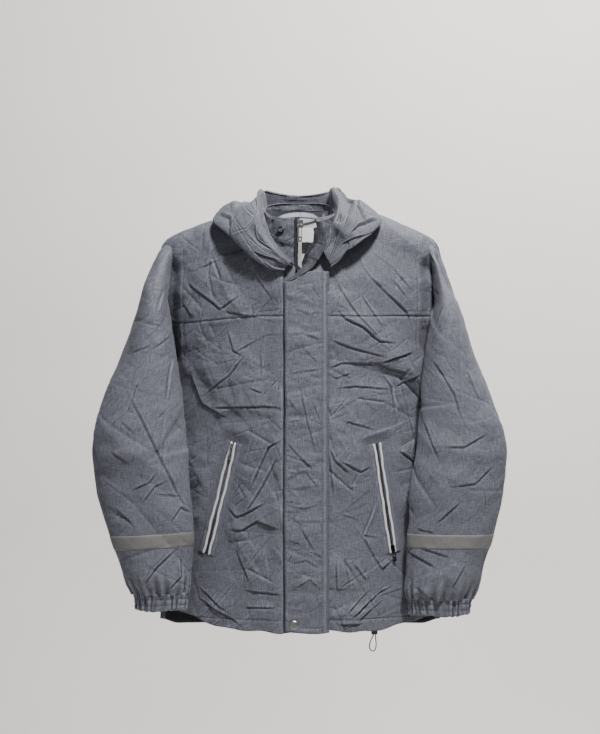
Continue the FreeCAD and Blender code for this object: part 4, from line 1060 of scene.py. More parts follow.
def stitch_mesh(name, paths, material, pitch=3.6, length=2.5, radius=0.34):
    """A row of single stitches along each path of points and normals."""
    lines = []
    for points, normals in paths:
        run = run_along(points)
        for s in np.arange(0.5, run[-1] - length, pitch):
            at = np.array([s, s + length * 0.5, s + length])
            line, normal = places_at(at, run, points), places_at(at, run, normals)
            line += normal * radius * np.array([[-0.4], [0.7], [-0.4]])
            lines.append((line, normal))
    return tube_mesh(name, lines, radius, material, sides=5, flat=0.8)


def ribbon(name, points, normals, width, material, thickness=0.5, narrow=None, cols=7):
    """A woven strip along a line of points, lying across its normals."""
    points, normals = np.array(points, float), np.array(normals, float)
    tangent = np.gradient(points, axis=0)
    tangent /= np.linalg.norm(tangent, axis=1, keepdims=True)
    side = np.cross(tangent, normals)
    side /= np.linalg.norm(side, axis=1, keepdims=True)
    t = np.linspace(-0.5, 0.5, cols)
    share = np.ones(len(points)) if narrow is None else narrow
    grid = points[:, None, :] + side[:, None, :] * (t[None, :, None] * width * share[:, None, None])
    run = run_along(points)
    uv = np.stack(np.broadcast_arrays((t * width * MM)[None, :], (run * MM)[:, None]), axis=-1)
    return grid_mesh(name, grid, uv, material, thickness=thickness, outward=tuple(normals.mean(axis=0)))


# ---------------------------------------------------------------- lining, facings and pocket bags

def inner_cloth():
    """The lining and the facings, a few millimetres inside the shell, seen through the neck and hem."""
    lining()
    neck_facing()
    for side in SIDES:
        for front in (True, False):
            hem_facing(side, front)
    for side in SIDES:
        pocket_bag(side)


def lining():
    """Two fronts and a back, less crumpled than the shell."""
    rumple = Crumple((-250, -700), (250, 50), 51, 3.0)
    rumple.waves(120, 40, 1.2).facets(60, 30, 20, 0.5).soften(2)
    low, inset = -640, 6.2

    def sheet(side, high, front, inner):
        points, uv, x, z = torso_grid(side, low, high, front, 5.0, inner, ARMHOLE - 21, inset, LINING_UNDERARM)
        h = rumple.at(x, z) * close_sides(x, torso_half(z, inset))
        outward = FRONTWARD if front else BACKWARD
        return points + grid_normals(points, outward) * np.minimum(h, 1.6)[..., None], uv

    for side in SIDES:
        points, uv = sheet(side, -18, True, 24.0)
        obj = grid_mesh(f"{side}_front_lining_cloth", points, uv, LINING, thickness=0.6)
        declare(obj, (0.240, 0.640), nodes=(f"{side}_front_lining",),
                area=min(surface_area(points), 0.150))
    points, uv, keep = join_halves([sheet(side, -16, False, 0.0) for side in SIDES])
    obj = grid_mesh("back_lining_cloth", points, uv, LINING, keep=keep, thickness=0.6, outward=BACKWARD)
    declare(obj, (0.470, 0.660), nodes=("back_lining",),
            area=min(surface_area(points), 0.30))


def neck_facing():
    """The facing at the back of the neck, which carries the label."""
    halves = [torso_grid(side, -28, 16, False, 3.0, 0.0, 70, 5.0)[:2] for side in SIDES]
    points, uv, keep = join_halves(halves)
    obj = grid_mesh("neck_facing_cloth", points, uv, LINING, keep=keep, thickness=0.6, outward=BACKWARD)
    declare(obj, (0.160, 0.050), nodes=("neck_facing",),
            area=min(surface_area(points), 0.0075))


def hem_facing(side, front):
    """A quarter of the dark facing inside the hem, which holds the drawcord."""
    word, outward = ("front", FRONTWARD) if front else ("back", BACKWARD)
    inner = 12.0 if front else 0.0
    points, uv, x, z = torso_grid(side, HEM + 2, -644, front, 4.0, inner, ARMHOLE, 4.6)
    h = 0.8 * np.sin(x / 6.1 + np.sin(x / 17.0)) * close_sides(x, torso_half(z) - 9)
    points = points + grid_normals(points, outward) * h[..., None]
    obj = grid_mesh(f"{side}_{word}_hem_facing", points, uv, DARK_CLOTH, thickness=0.5, outward=outward)
    declare(obj, (0.260, 0.030), nodes=("hem_facing", "hem_drawcord"),
            area=min(surface_area(points), 0.0078))


def pocket_bag(side):
    """A pocket's bag, flat behind its zip."""
    rows, cols = 60, 40
    heights = [z for _, z in POCKETS[side]]
    x = SIGN[side] * np.linspace(64, 176, cols)[None, :] + np.zeros((rows, 1))
    z = np.linspace(max(heights) + 14, min(heights) - 26, rows)[:, None] + np.zeros((1, cols))
    y = torso_y(x, z, True, 4.6) + 0.4 * np.sin(x / 9) * np.sin(z / 13)
    points = np.stack([x, y, z], axis=-1)
    uv = np.stack([x * MM, z * MM], -1)
    obj = grid_mesh(f"{side}_pocket_bag_cloth", points, uv, LINING, thickness=0.5)
    declare(obj, (0.115, 0.230), nodes=(f"{side}_pocket_bag",))


def join_halves(halves):
    """Joins the right and left half of a back sheet down the middle, open where the neckline is."""
    right, left = halves
    bare = np.abs(right[0][:, 0, 0]) > 1.0
    points = np.concatenate([right[0][:, ::-1], left[0]], axis=1)
    uv = np.concatenate([right[1][:, ::-1], left[1]], axis=1)
    keep = np.ones(points.shape[:2], bool)
    middle = right[0].shape[1]
    keep[bare, middle] = False
    return points, uv, keep


inner_cloth()


# ---------------------------------------------------------------- collar, lapel and storm flap

def collar():
    """The stand-up collar, inside the hood, open at the throat."""
    start, stop = math.radians(-62), math.radians(264)
    cols, rows = 190, 30
    turn = np.linspace(start, stop, cols)[None, :] + np.zeros((rows, 1))
    x = 58.6 * np.cos(turn)
    y = NECK_CENTRE + 58.0 * np.sin(turn)
    levels = np.linspace(-112, 17, 130)
    low = np.zeros(cols)
    for k in range(cols):
        front = torso_y(x[0, k], levels, True)
        back = torso_y(x[0, k], levels, False)
        half = torso_half(levels)
        inside = (front < y[0, k]) & (y[0, k] < back) & (np.abs(x[0, k]) < half)
        low[k] = levels[inside].max() if inside.any() else -100
    share = (y - (NECK_CENTRE - 58)) / 116
    high = -8 + 34 * smooth(-0.1, 1.05, share)
    low = low[None, :] - 5
    t = np.linspace(0, 1, rows)[:, None]
    z = high * (1 - t) + low * t
    crush = Crumple((-20, -130), (400, 80), 61)
    crush.facets(38, 16, 70, 1.9, 0.8, 1.4).facets(24, 11, 10, 1.1, 0.7, 1.2)
    arc = (turn - start) * 58.5
    h = np.clip(crush.at(arc, z), -2.6, 2.6) * smooth(1.0, 0.8, t)
    h -= 2.5 * smooth(0.12, 0.0, t)
    radial = np.stack([np.cos(turn), np.sin(turn), 0 * turn], axis=-1)
    points = np.stack([x, y, z], axis=-1) + radial * h[..., None]
    uv = np.stack([arc * MM, z * MM], axis=-1)

    def outward(p):
        return np.stack([p[..., 0], p[..., 1] - NECK_CENTRE, 0 * p[..., 2]], axis=-1)

    # Its cloth is the shell cloth darkened as painted shade.
    obj = grid_mesh("collar_cloth", points, uv, SHADED_SHELL_CLOTH, thickness=1.2, outward=outward)
    declare(obj, (0.330, 0.065), nodes=("collar",), area=min(surface_area(points), 0.031))


def lapel():
    """The rolled-open top of the left front: a strip that turns over itself beside the zip."""
    # Its rolled edge and its inner edge beside the zip, across and up.
    spine = np.array([(33, -13), (41, -30), (43, -50), (34, -68), (20, -88), (-2, -102), (-22, -112)], float)
    inner = np.array([(25, -14), (29, -30), (27, -48), (15, -63), (9, -80), (-6, -96), (-25, -109)], float)
    rows, cols = 90, 26
    t = np.linspace(0, 1, rows) * (len(spine) - 1)
    grid = np.arange(len(spine))
    a = np.stack([np.interp(t, grid, spine[:, k]) for k in range(2)], 1)
    b = np.stack([np.interp(t, grid, inner[:, k]) for k in range(2)], 1)
    for _ in range(6):
        for line in (a, b):
            line[1:-1] = (line[:-2] + line[1:-1] * 2 + line[2:]) / 4
    s = np.linspace(-0.18, 1.12, cols)[None, :]
    inside = np.clip(s, 0, 1)
    xz = a[:, None, :] * (1 - inside[..., None]) + b[:, None, :] * inside[..., None]
    crush = Crumple((-60, -140), (80, 20), 63)
    crush.facets(26, 10, 60, 2.0, 0.8, 1.3).facets(14, 8, -10, 0.7, 0.5, 1.1)
    base = -123.0 + 7.0 * inside - 1.5 * np.sin(math.pi * inside) + 0 * xz[..., 0]
    base = base + 26 * np.clip(-s, 0, 1) + 20 * np.clip(s - 1, 0, 1)
    y = base - np.clip(crush.at(xz[..., 0], xz[..., 1]), -2.2, 2.2)
    points = np.stack([xz[..., 0], y, xz[..., 1]], axis=-1)
    uv = points[..., [0, 2]] * MM
    # The lapel's cloth is darkened as painted shade.
    obj = grid_mesh("left_lapel_cloth", points, uv, SHADED_LAPEL_CLOTH, thickness=0.9)
    declare(obj, (0.045, 0.125), nodes=("left_lapel",), area=min(surface_area(points), 0.0056))
    edge = points[:, -4] + np.array([0, -0.8, 0])
    normals = np.tile([0.0, -1.0, 0.0], (len(edge), 1))
    taped = slice(8, 70)
    line = edge[taped] + np.array([-2.0, 1.0, 0])
    obj = ribbon("left_lapel_zip_tape", line, normals[taped], 10.0, ZIP_TAPE, 0.5)
    declare(obj, (0.010, 0.090))


# Creases across the storm flap: (across, up) points, then height.
FLAP_FOLDS = [
    ([(-20, -192), (5, -190), (34, -200)], 1.7), ([(-21, -257), (0, -252), (34, -247)], 2.2),
    ([(3, -280), (14, -331), (26, -379)], 2.6), ([(-21, -363), (0, -387), (26, -411)], 2.8),
    ([(-20, -331), (2, -329)], 2.2), ([(-21, -412), (6, -414)], 2.0), ([(10, -411), (29, -435)], 2.0),
    ([(-20, -465), (8, -470), (33, -462)], 2.0), ([(2, -500), (26, -540)], 2.4),
    ([(-19, -520), (4, -528)], 1.8),
    ([(-20, -560), (10, -552), (33, -566)], 2.0), ([(-12, -600), (16, -582), (33, -600)], 2.2),
    ([(-20, -630), (12, -636), (32, -624)], 1.8), ([(8, -215), (30, -238)], 1.6),
    ([(-16, -296), (-2, -316)], 1.6),
    ([(-8, -150), (16, -160), (33, -154)], 1.6), ([(-20, -440), (-2, -452)], 1.8),
    ([(22, -300), (34, -330)], 1.6),
]


def storm_flap():
    """The flap over the front zip, sewn along the wearer's left, with its seam strip."""
    crush = Crumple((-40, -690), (60, -90), 71)
    crush.waves(70, 88, 0.7)
    crush.facets(44, 14, 4, 0.9, 0.5, 1.3)
    crush.facets(26, 9, -12, 0.5, 0.5, 1.1)
    crush.facets(14, 6, 12, 0.22, 0.2, 1.0)
    for points, height in FLAP_FOLDS:
        crush.fold(points, height, 1.2, 8.0)
    rows, cols = 270, 42
    down = np.linspace(0, 1, rows)[:, None] + np.zeros((1, cols))
    t = np.linspace(0, 1, cols)[None, :]
    z_top = -110 + 17 * smooth(0.1, 0.6, t)
    z = z_top * (1 - down) + -671 * down
    edge = FLAP_FREE + 0.6 * np.sin(z / 61.0) + 0.25 * np.sin(z / 12.3 + 1.0)
    x = edge * (1 - t) + (FLAP_SEAM + 7.0) * t
    free = smooth(0.07, 0.0, t)
    y = FLAP_FACE + 0.3 - 0.9 * np.sin(math.pi * np.clip((x - FLAP_FREE) / 66, 0, 1)) + 2.4 * free
    y = y + 7.2 * smooth(FLAP_SEAM, FLAP_SEAM + 6.5, x)
    calm = (1 - 0.85 * smooth(31, 37, x)) * smooth(-27, -18, x)
    top = smooth(-96, -122, z)
    y = y - np.maximum(crush.at(x, z), -1.2) * calm * (0.4 + 0.6 * top)
    for seam in (35.6, 41.6):
        y = y + 0.7 * bell(x - seam, 0.9)
    z = z - 1.2 * np.sin(x / 14.0) * (z < -668)
    points = np.stack([x, y, z], axis=-1)
    uv = points[..., [0, 2]] * MM
    obj = grid_mesh("storm_flap_cloth", points, uv, SHELL, thickness=1.4)
    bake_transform(obj)
    declare(obj, (0.072, 0.565), body=None, nodes=("storm_flap", "flap_seam_strip"))
    return points


collar()
lapel()
FLAP = storm_flap()


# ---------------------------------------------------------------- hood

# Control places of each thrown-back side: rows run from behind the neck to the throat, and each
# row runs from inside the neck, over the roll and the brim, to the fallen edge and its tucked-under hem.
WING = {
    "right": [
        [(-52, -8, 8), (-58, -2, 42), (-66, 4, 50), (-84, 8, 36), (-100, 10, 26), (-116, 10, 12),
         (-100, 14, 4)],
        [(-56, -28, 0), (-60, -26, 34), (-67, -26, 48), (-84, -30, 24), (-113, -36, 29), (-137, -42, 3),
         (-118, -34, -6)],
        [(-59, -50, -20), (-61, -54, 12), (-68, -64, 28), (-86, -76, 15), (-106, -82, 8), (-141, -76, -9),
         (-116, -62, -18)],
        [(-57, -80, -40), (-61, -92, -8), (-66, -106, 2), (-80, -115, -8), (-99, -113, -17),
         (-122, -104, -27), (-104, -90, -32)],
        [(-53, -96, -52), (-58, -108, -26), (-62, -120, -20), (-74, -130, -30), (-86, -129, -38),
         (-97, -124, -49), (-88, -108, -46)],
        [(-44, -104, -62), (-47, -114, -46), (-51, -125, -42), (-58, -134, -50), (-66, -134, -62),
         (-72, -130, -74), (-68, -116, -66)],
        [(-26, -110, -74), (-26, -118, -66), (-28, -127, -62), (-33, -134, -69), (-38, -135, -79),
         (-45, -132, -89), (-43, -120, -82)],
        [(-10, -112, -84), (-10, -119, -80), (-11, -126, -77), (-15, -130, -80), (-19, -130, -85),
         (-25, -128, -91), (-24, -120, -87)],
    ],
    "left": [
        [(46, -8, 6), (49, -2, 42), (55, 4, 50), (74, 8, 38), (92, 10, 28), (108, 12, 12), (94, 14, 4)],
        [(50, -26, 0), (50, -24, 36), (57, -26, 46), (80, -32, 25), (97, -36, 28), (126, -42, 3),
         (110, -34, -6)],
        [(54, -50, -14), (55, -54, 10), (62, -62, 26), (80, -74, 8), (94, -80, 12), (131, -78, -10),
         (110, -64, -18)],
        [(52, -80, -32), (53, -92, -8), (60, -104, 4), (74, -113, -6), (90, -112, -14), (116, -106, -28),
         (98, -92, -34)],
        [(46, -98, -44), (47, -110, -24), (53, -121, -12), (66, -128, -20), (80, -127, -31), (97, -122, -44),
         (86, -108, -44)],
        [(40, -104, -50), (41, -114, -36), (47, -123, -27), (57, -129, -34), (70, -129, -46), (78, -126, -58),
         (70, -114, -56)],
        [(36, -106, -58), (37, -116, -48), (42, -124, -43), (50, -129, -50), (59, -129, -62), (65, -127, -75),
         (58, -115, -71)],
        [(31, -106, -68), (32, -116, -62), (35, -123, -60), (40, -127, -68), (46, -127, -77), (50, -124, -87),
         (46, -115, -84)],
    ],
}
# Creases across each side, in control rows and columns, then height.
WING_FOLDS = {
    "right": [
        ([(1.6, 3.4), (2.4, 3.2), (3.2, 2.6)], 2.6), ([(1.7, 4.6), (2.4, 4.3), (3.1, 4.5)], 3.0),
        ([(2.6, 2.0), (3.4, 2.7), (3.7, 3.6), (3.5, 4.9)], 3.2), ([(3.6, 2.6), (4.6, 3.1), (5.6, 3.0)], 3.0),
        ([(4.4, 2.4), (5.6, 3.0), (6.8, 3.4)], 3.6), ([(4.8, 4.4), (5.8, 3.8), (6.9, 4.0)], 3.2),
        ([(5.4, 2.0), (6.3, 2.2), (6.9, 2.3)], 2.4), ([(0.6, 2.2), (1.6, 2.4), (2.8, 2.1)], 2.4),
    ],
    "left": [
        ([(0.8, 4.0), (2.0, 4.1), (3.0, 4.6)], 3.0), ([(1.4, 2.1), (2.4, 2.2), (3.4, 2.0)], 2.4),
        ([(1.8, 3.4), (2.8, 3.2), (3.8, 3.4)], 3.6), ([(2.2, 4.8), (3.2, 4.2), (4.0, 4.1)], 3.8),
        ([(2.6, 2.6), (3.8, 2.8), (4.9, 2.9)], 3.4), ([(3.4, 4.9), (4.2, 4.5), (5.4, 4.0)], 3.0),
        ([(4.6, 3.2), (5.6, 3.4), (6.6, 3.8)], 3.2), ([(5.2, 2.2), (6.0, 2.6), (6.8, 2.5)], 2.4),
    ],
}
# Hollows of each side, in control rows and columns, with their reach and depth.
WING_HOLLOWS = {
    "right": [(0.75, 3.85, 0.36, 0.42, 12.0), (0.3, 2.9, 0.5, 0.5, 9.0), (4.3, 3.0, 0.7, 0.35, 4.5)],
    "left": [(0.7, 3.0, 0.5, 0.4, 9.0), (3.4, 2.5, 0.5, 0.4, 6.0), (5.5, 3.2, 0.8, 0.8, 6.5)],
}
TILE = 30.0  # millimetres of cloth map for each control row and column


def smooth_net(net, rows, cols):
    """A smooth surface through a net of control places."""
    net = np.array(net, float)
    across = np.stack([catmull(row, np.linspace(0, net.shape[1] - 1, cols)) for row in net])
    return np.stack([catmull(across[:, k], np.linspace(0, net.shape[0] - 1, rows)) for k in range(cols)], axis=1)


def catmull(points, t):
    """Smooth interpolation through rows of values at parameter t, 0 to the number of rows less one."""
    points = np.asarray(points, float)
    i = np.clip(np.floor(t).astype(int), 0, len(points) - 2)
    f = (t - i)[:, None]
    p0, p1 = points[np.maximum(i - 1, 0)], points[i]
    p2, p3 = points[i + 1], points[np.minimum(i + 2, len(points) - 1)]
    square, cube = 2 * p0 - 5 * p1 + 4 * p2 - p3, 3 * p1 - p0 - 3 * p2 + p3
    return 0.5 * (2 * p1 + (p2 - p0) * f + square * f ** 2 + cube * f ** 3)


def hood_wing(side):
    """One side of the thrown-back hood: out of the neck, over a roll, down to a fallen edge that tucks under."""
    net = WING[side]
    rows, cols = 190, 150
    grid = smooth_net(net, rows, cols)
    u = np.linspace(0, len(net) - 1, rows)[:, None] + np.zeros((1, cols))
    v = np.linspace(0, 6, cols)[None, :] + np.zeros((rows, 1))
    crush = Crumple((-20, -20), (260, 220), 81 if side == "right" else 82, 1.4)
    crush.facets(80, 40, 28, 2.4, 0.7, 1.3).facets(46, 24, -20, 0.9, 0.5, 1.2)
    for k, (points, height) in enumerate(WING_FOLDS[side]):
        crush.fold([(a * TILE, b * TILE) for a, b in points], height * (-1.3 if k % 2 else 1.1), 1.6, 9.0)
    h = crush.at(u * TILE, v * TILE) * smooth(0.4, 1.6, v) * (0.25 + 0.75 * smooth(6.0, 5.2, v))
    for row, column, long, wide, deep in WING_HOLLOWS[side]:
        h = h - deep * np.exp(-((u - row) / long) ** 4 - ((v - column) / wide) ** 4)
    normals = np.cross(np.gradient(grid, axis=0), np.gradient(grid, axis=1))
    normals /= np.maximum(np.linalg.norm(normals, axis=2, keepdims=True), 1e-9)
    if normals[rows // 2, cols // 2, 1] > 0:
        normals = -normals
    points = grid + normals * h[..., None]
    uv = np.stack([u * TILE, v * TILE], axis=-1) * MM

    def outward(p):
        return normals

    # Its cloth is the shell cloth darkened as painted shade.
    obj = grid_mesh(f"hood_{side}_wing_cloth", points, uv, SHADED_SHELL_CLOTH, thickness=1.0, outward=outward)
    declare(obj, (0.260, 0.190), nodes=(f"hood_{side}_panel",), area=min(surface_area(points), 0.049))


def hood_bag():
    """The hood's crown, hanging behind the neck."""
    # Height, half width, middle depth and half depth.
    levels = np.array([(49, 56, 21, 3), (47, 62, 21, 10), (42, 67, 23, 13), (10, 96, 31, 17), (-40, 114, 37, 22),
                       (-90, 100, 39, 21), (-118, 72, 36, 14), (-127, 44, 35, 6), (-130, 20, 35, 0.9)], float)
    rows, cols = 110, 200
    row = catmull(levels, np.linspace(0, len(levels) - 1, rows))
    angle = np.linspace(0, 2 * math.pi, cols, endpoint=False)[None, :]
    z = row[:, :1] + 0 * angle
    x = row[:, 1:2] * np.cos(angle)
    y = row[:, 2:3] - row[:, 3:4] * np.sin(angle) * (1 - 0.25 * np.abs(np.cos(angle)))
    crush = Crumple((-160, -140), (160, 60), 91)
    crush.facets(80, 30, 80, 2.8, 0.9, 1.5).facets(50, 20, 30, 1.6, 0.8, 1.3)
    crush.facets(24, 11, 10, 0.5, 0.4, 1.1)
    number = np.arange(rows)[:, None]
    h = crush.at(x, z) * smooth(0, 8, number) * smooth(rows, rows - 10, number)
    h = h * np.where(np.sin(angle) > 0, 0.35, 1.0)
    dip = smooth(26, 44, z) * np.where(np.abs(x) < 60, 9.0 * np.cos(np.clip(x / 56, -1, 1) * math.pi / 2), 0)
    points = np.stack([x, y, z - dip], axis=-1)

    def outward(p):
        return np.stack([p[..., 0] * 0.3, p[..., 1] - 25, (p[..., 2] + 40) * 0.25], axis=-1)

    points = points + grid_normals(points, outward) * h[..., None]
    uv = np.stack([angle * 0.045 + 0 * z, z * MM], axis=-1)
    # Its cloth is the shell cloth darkened as painted shade.
    obj = grid_mesh("hood_crown_cloth", points, uv, SHADED_SHELL_CLOTH, closed=True, thickness=1.0, outward=outward)
    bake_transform(obj)
    declare(obj, (0.300, 0.330), body=None, nodes=("hood_centre_panel",), area=0.075)


for wing_side in SIDES:
    hood_wing(wing_side)
hood_bag()


# ---------------------------------------------------------------- front zip

def zip_teeth(name, node, points, side, pitch, width, height):
    """A row of coil teeth along a line."""
    points, side = np.array(points, float), np.array(side, float)
    run = run_along(points)
    centres = places_at(np.arange(pitch / 2, run[-1], pitch), run, points)
    down = (points[-1] - points[0]) / np.linalg.norm(points[-1] - points[0])
    turn = np.stack([side, np.cross(down, side), down], axis=1)
    blocks = [(c, (width, height, pitch * 0.62), turn) for c in centres]
    obj = box_mesh(name, blocks, COIL, bevel=0.28, segments=1)
    attach(obj, nodes=(node,))


def front_zip():
    """Both halves of the front zip: tapes, coils."""
    gap, coil, tape = 0.8, 2.4, 7.4  # half the gap between the coils, a coil, and half a tape
    for side in SIDES:
        sign, high = SIGN[side], ZIP_TOP[side]
        z = np.linspace(high + 2, ZIP_END, 200)
        narrowing = smooth(-112, -96, z)
        x = sign * (gap + coil + tape - 4.6 * narrowing)
        points = np.stack([x, ZIP_PLANE + 0.25 * np.sin(z / 7.0), z], 1)
        normals = np.tile([0.0, -1.0, 0.0], (len(z), 1))
        obj = ribbon(f"{side}_zip_tape_weave", points, normals, 14.4, ZIP_TAPE, 0.6, narrow=1 - 0.64 * narrowing)
        declare(obj, (0.0146, (high - ZIP_END) * MM), nodes=(f"{side}_zip_tape",))
        line = [(sign * 2.0, ZIP_PLANE - 0.2, z) for z in (high, -632.0)]
        zip_teeth(f"{side}_zip_coil_teeth", f"{side}_zip_coil", line, (1, 0, 0), 1.55, 2.5, 2.2)


front_zip()


# ---------------------------------------------------------------- pocket zips

def pocket_frame(side):
    """A pocket zip's line: points straight down it, the way out of the cloth, and the way across."""
    count = 90
    (x0, z0), (x1, z1) = POCKETS[side]
    ends = np.array([(x0, torso_y(x0, z0, True), z0), (x1, torso_y(x1, z1, True), z1)])
    t = np.linspace(0, 1, count)
    down = ends[1] - ends[0]
    straight = ends[0] + np.outer(t, down)
    down = down / np.linalg.norm(down)
    x, z = x0 + (x1 - x0) * t[count // 2], z0 + (z1 - z0) * t[count // 2]
    slope = (torso_y(x + 2, z, True) - torso_y(x - 2, z, True)) / 4
    out = np.array([slope, -1.0, 0.0])
    out -= down * out.dot(down)
    out /= np.linalg.norm(out)
    return straight, out, np.cross(-out, -down)


def pocket_zips():
    """Both pocket zips: tape, coil, piping and the cloth edges beside them."""
    for side in SIDES:
        line, out, across = pocket_frame(side)
        normals = np.tile(out, (len(line), 1))
        run = np.linalg.norm(line - line[0], axis=1)
        obj = ribbon(f"{side}_pocket_tape_weave", line - out * 1.9, normals, 12.0, ZIP_TAPE, 0.5)
        declare(obj, (0.012, 0.188), nodes=(f"{side}_pocket_tape",))
        zip_teeth(f"{side}_pocket_coil_teeth", f"{side}_pocket_coil", line[[0, -1]] - out * 1.2, across,
                  1.35, 3.4, 1.5)
        lines = []
        for edge in (-1, 1):
            wobble = 0.5 * np.sin(run / 11.0 + edge) + 0.3 * np.sin(run / 4.3 + 2 * edge)
            if side == "right":  # its piping draws together at the top
                wobble = wobble - edge * 2.4 * smooth(34, 0, run)
            rise = 0.2 + 0.25 * np.sin(run / 17.0 + edge)
            lines.append((line + across * (edge * 5.1 + wobble)[:, None] + out * rise[:, None], normals))
        obj = tube_mesh(f"{side}_pocket_piping_tube", lines, 2.1, PIPING, sides=12, flat=0.5)
        attach(obj, nodes=(f"{side}_pocket_piping",))
        welt_lips(side, line, out, across)


def welt_lips(side, line, out, across):
    """The turned cloth edges outside the piping."""
    run = np.linalg.norm(line - line[0], axis=1)
    t = np.linspace(0, 1, 8)[None, :]
    for edge, word in ((-1, "inner"), (1, "outer")):
        waver = 0.25 * np.sin(run / 5.0 + edge)[:, None]
        bulge = 0.9 * np.sin(math.pi * np.clip(t * 1.05, 0, 1)) + waver * (1 - t)
        sideways, rise = edge * (6.4 + 9.6 * t), bulge - 0.9 - 1.2 * t
        base = line[:, None, :] + across * sideways[..., None] + out * rise[..., None]
        uv = np.stack(np.broadcast_arrays(t * 0.009 + 0.05 * edge, (run * MM)[:, None]), -1)
        obj = grid_mesh(f"{side}_pocket_{word}_welt", base, uv, SHELL, thickness=0.6, outward=tuple(out))
        declare(obj, (0.0102, 0.188))


pocket_zips()


# ---------------------------------------------------------------- labels, loop and cord

def neck_trim():
    """The blank label, its blank tab and the hanger loop."""

    def patch(name, x0, x1, z0, z1, y, material, flat, seed):
        x = np.linspace(x0, x1, 40)[None, :] + np.zeros((24, 1))
        z = np.linspace(z1, z0, 24)[:, None] + np.zeros((1, 40))
        yy = y - 0.5 * np.sin((x - x0) / (x1 - x0) * math.pi) + 0.3 * np.sin(x / 6 + seed) * np.sin(z / 8)
        points = np.stack([x, yy, z], -1)
        obj = grid_mesh(name, points, np.stack([x * MM, z * MM], -1), material, thickness=0.4)
        declare(obj, flat, nodes=("neck_labels",))

    patch("neck_label_weave", -29, 29, -40, -16, 1.4, LABEL, (0.058, 0.024), 1.0)
    patch("neck_tab_weave", -2, 15, -52, -39, 0.9, DARK_LABEL, (0.017, 0.013), 2.0)
    t = np.linspace(0, 1, 60)
    x = -30 + 60 * t
    z = 3.4 * np.sin(math.pi * t) ** 0.6 - 2.0
    y = 3.0 - 7.0 * np.sin(math.pi * t) ** 0.8
    points = np.stack([x, y, z], 1)
    normals = np.tile([0.0, -0.4, 0.9], (60, 1))
    obj = tube_mesh("hanger_loop_braid", [(points, normals)], 1.7, THREAD, sides=12, flat=0.8)
    attach(obj, nodes=("hanger_loop",))


def snap_flange():
    """The collar snap's rim, pressed into the cloth round its stud."""
    low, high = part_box("collar_snap_stud")
    middle = np.array((low + high) / 2) / MM
    out = np.array([middle[0], middle[1] - NECK_CENTRE, 0.0])
    out /= np.linalg.norm(out)
    turn = np.linspace(0, 2 * math.pi, 49)[:, None]
    side = np.array([-out[1], out[0], 0.0])
    ring = middle - out * 0.4 + 4.4 * (np.cos(turn) * side + np.sin(turn) * np.array([0, 0, 1.0]))
    normals = np.tile(out, (len(ring), 1))
    obj = tube_mesh("collar_snap_rim", [(ring, normals)], 1.5, DARK_METAL, sides=12, flat=0.6)
    attach(obj)


snap_flange()


# The loop of drawcord below the hem: its route's points in metres.
CORD_DEPTH = -0.08745
CORD_ROUTE = [
    (0.1186, CORD_DEPTH, -0.67735), (0.1154, CORD_DEPTH + 0.0002, -0.68415),
    (0.1124, CORD_DEPTH + 0.0005, -0.69195),
    (0.1118, CORD_DEPTH + 0.0008, -0.70075), (0.1182, CORD_DEPTH + 0.0006, -0.70555),
    (0.1226, CORD_DEPTH + 0.0001, -0.69995), (0.1229, CORD_DEPTH - 0.0003, -0.69115),
    (0.1220, CORD_DEPTH - 0.0002, -0.68295), (0.1216, CORD_DEPTH, -0.67735),
]


def hem_cord():
    """The loop of drawcord that hangs out of the hem."""
    curve = bpy.data.curves.new("hem_cord_loop_braid", "CURVE")
    curve.dimensions = "3D"
    spline = curve.splines.new("NURBS")
    spline.points.add(len(CORD_ROUTE) - 1)
    for point, place in zip(spline.points, CORD_ROUTE):
        point.co = (*place, 1.0)
    spline.order_u = 3
    spline.use_endpoint_u = True
    spline.resolution_u = 12
    curve.bevel_depth = 0.0009
    curve.bevel_resolution = 4
    curve.materials.append(CORD)
    obj = add_object("hem_cord_loop_braid", curve)
    attach(obj, nodes=("hem_cord_loop",))


neck_trim()
hem_cord()


# ---------------------------------------------------------------- stitching

def stitching():
    """Topstitching along the yoke, the hem and the storm flap's sewn edge."""
    paths = []
    for sign, start in ((-1, 27), (1, 46)):
        for end, count, level in ((204, 120, YOKE_SEAM + 3.2), (216, 160, HEM + HEM_STITCH)):
            x = sign * np.linspace(start, end, count)
            paths.append(front_place(x, level + 0 * x, 0.1))
    attach(stitch_mesh("front_topstitching", paths, THREAD))
    for name, reach, body in (("flap_topstitching", 33.8, "storm_flap"), ("flap_seam_topstitching", 43.2, ROOT)):
        line = [row[int(np.argmin(np.abs(row[:, 0] - reach)))] for row in FLAP[2:-2]]
        line = np.array(line) + np.array([0, -0.15, 0])
        normals = np.tile([0.0, -1.0, 0.0], (len(line), 1))
        attach(stitch_mesh(name, [(line, normals)], THREAD), body)


stitching()


# ---------------------------------------------------------------- CAD parts that stay

def finish_cad(material, *nodes):
    """Gives CAD parts that keep their shape a finished material."""
    for obj in SCENE.objects:
        name = obj.get("node") or obj.name.split(".")[0]
        if name in nodes:
            for slot in obj.material_slots:
                slot.material = material


finish_cad(NICKEL, "main_slider", "main_pull_tab", "right_pocket_slider", "right_pocket_pull_tab")
finish_cad(DARK_METAL, "left_pocket_slider", "left_pocket_pull_tab")
finish_cad(BRUSHED, "hem_snap_cap", "hem_snap_socket", "hem_snap_stud")
finish_cad(NICKEL, "collar_snap_stud")
finish_cad(HOOK, "hook_patches", "loop_patches")
finish_cad(COIL, "zip_top_stop", "zip_box_and_pin")
finish_cad(BLACK_PLASTIC, "hem_cord_guide")
finish_cad(PULL_TAPE, "main_pull_tape")
finish_cad(DARK_CLOTH, "hem_drawcord")


# ---------------------------------------------------------------- studio and camera

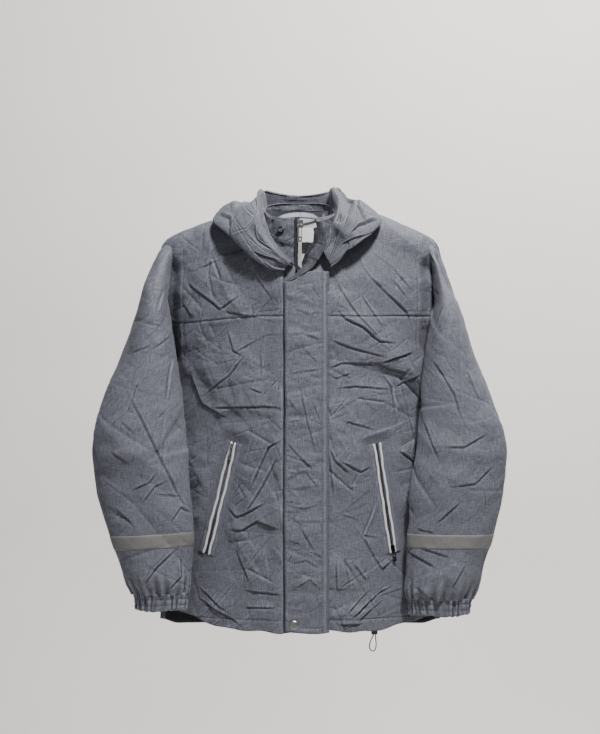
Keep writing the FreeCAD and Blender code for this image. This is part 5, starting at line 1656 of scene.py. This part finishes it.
def studio():
    """A pale wall that curves into a floor, a soft key from the upper right front, and gentle fill."""
    wall = Nodes("painted wall")
    mottle = wall.noise(wall.coordinates((1.2, 1.2, 1.2), kind="Object"), 1.6, 4.0)
    wall.link(wall.ramp(mottle, 0.3, 0.7, (0.76, 0.745, 0.72), (0.80, 0.788, 0.765)), "Base Color")
    fine = wall.noise(wall.coordinates((60, 60, 60), kind="Object"), 2.0, 5.0)
    wall.link(wall.bump(fine, 0.1, 0.001), "Normal")
    wall.value(Roughness=0.9)
    far, near, floor, top, bend, count = 3.2, -4.5, -1.9, 4.5, 1.2, 24
    profile = [(near, floor)]
    for k in range(count + 1):
        a = math.pi / 2 * k / count
        profile.append((far - bend + bend * math.sin(a), floor + bend - bend * math.cos(a)))
    profile.append((far, top))
    vertices = [(x, y, z) for y, z in profile for x in (-6.0, 6.0)]
    faces = [(2 * k, 2 * k + 1, 2 * k + 3, 2 * k + 2) for k in range(len(profile) - 1)]
    backdrop = add_object("backdrop", new_mesh("backdrop", vertices, faces, wall.material))

    def area(name, place, target, size, power, colour):
        light = bpy.data.lights.new(name, "AREA")
        light.shape, light.size, light.size_y = "RECTANGLE", size[0], size[1]
        light.energy, light.color = power, colour
        obj = add_object(name, light)
        obj.location = place
        obj.rotation_euler = (Vector(target) - Vector(place)).to_track_quat("-Z", "Y").to_euler()

    area("key", (0.52, -1.45, 1.8), (0, 0, -0.3), (0.32, 0.32), 101, (1.0, 0.985, 0.965))
    area("fill", (-1.2, -2.4, 0.1), (0, 0, -0.35), (1.6, 1.6), 4.5, (0.95, 0.965, 1.0))
    area("wall light", (1.2, 1.0, 2.2), (0.4, 3.2, 0.1), (1.8, 1.4), 204, (1.0, 0.99, 0.965))
    world = bpy.data.worlds.new("room")
    world.use_nodes = True
    background = world.node_tree.nodes["Background"]
    background.inputs["Color"].default_value = (0.80, 0.83, 0.88, 1)
    background.inputs["Strength"].default_value = 0.165
    SCENE.world = world


def camera():
    """Level, straight in front of the jacket, a little below its shoulders."""
    sensor, distance, seen_height = 24.0, 3.2, 1.174  # the last is what the picture shows at the cloth's front
    data = bpy.data.cameras.new("front camera")
    data.sensor_fit = "VERTICAL"
    data.sensor_height = sensor
    data.lens = sensor * distance / seen_height
    obj = add_object("front camera", data)
    obj.location = (0.0, -0.115 - distance, -0.246)
    obj.rotation_euler = (math.radians(90), 0, 0)
    SCENE.camera = obj


studio()
camera()
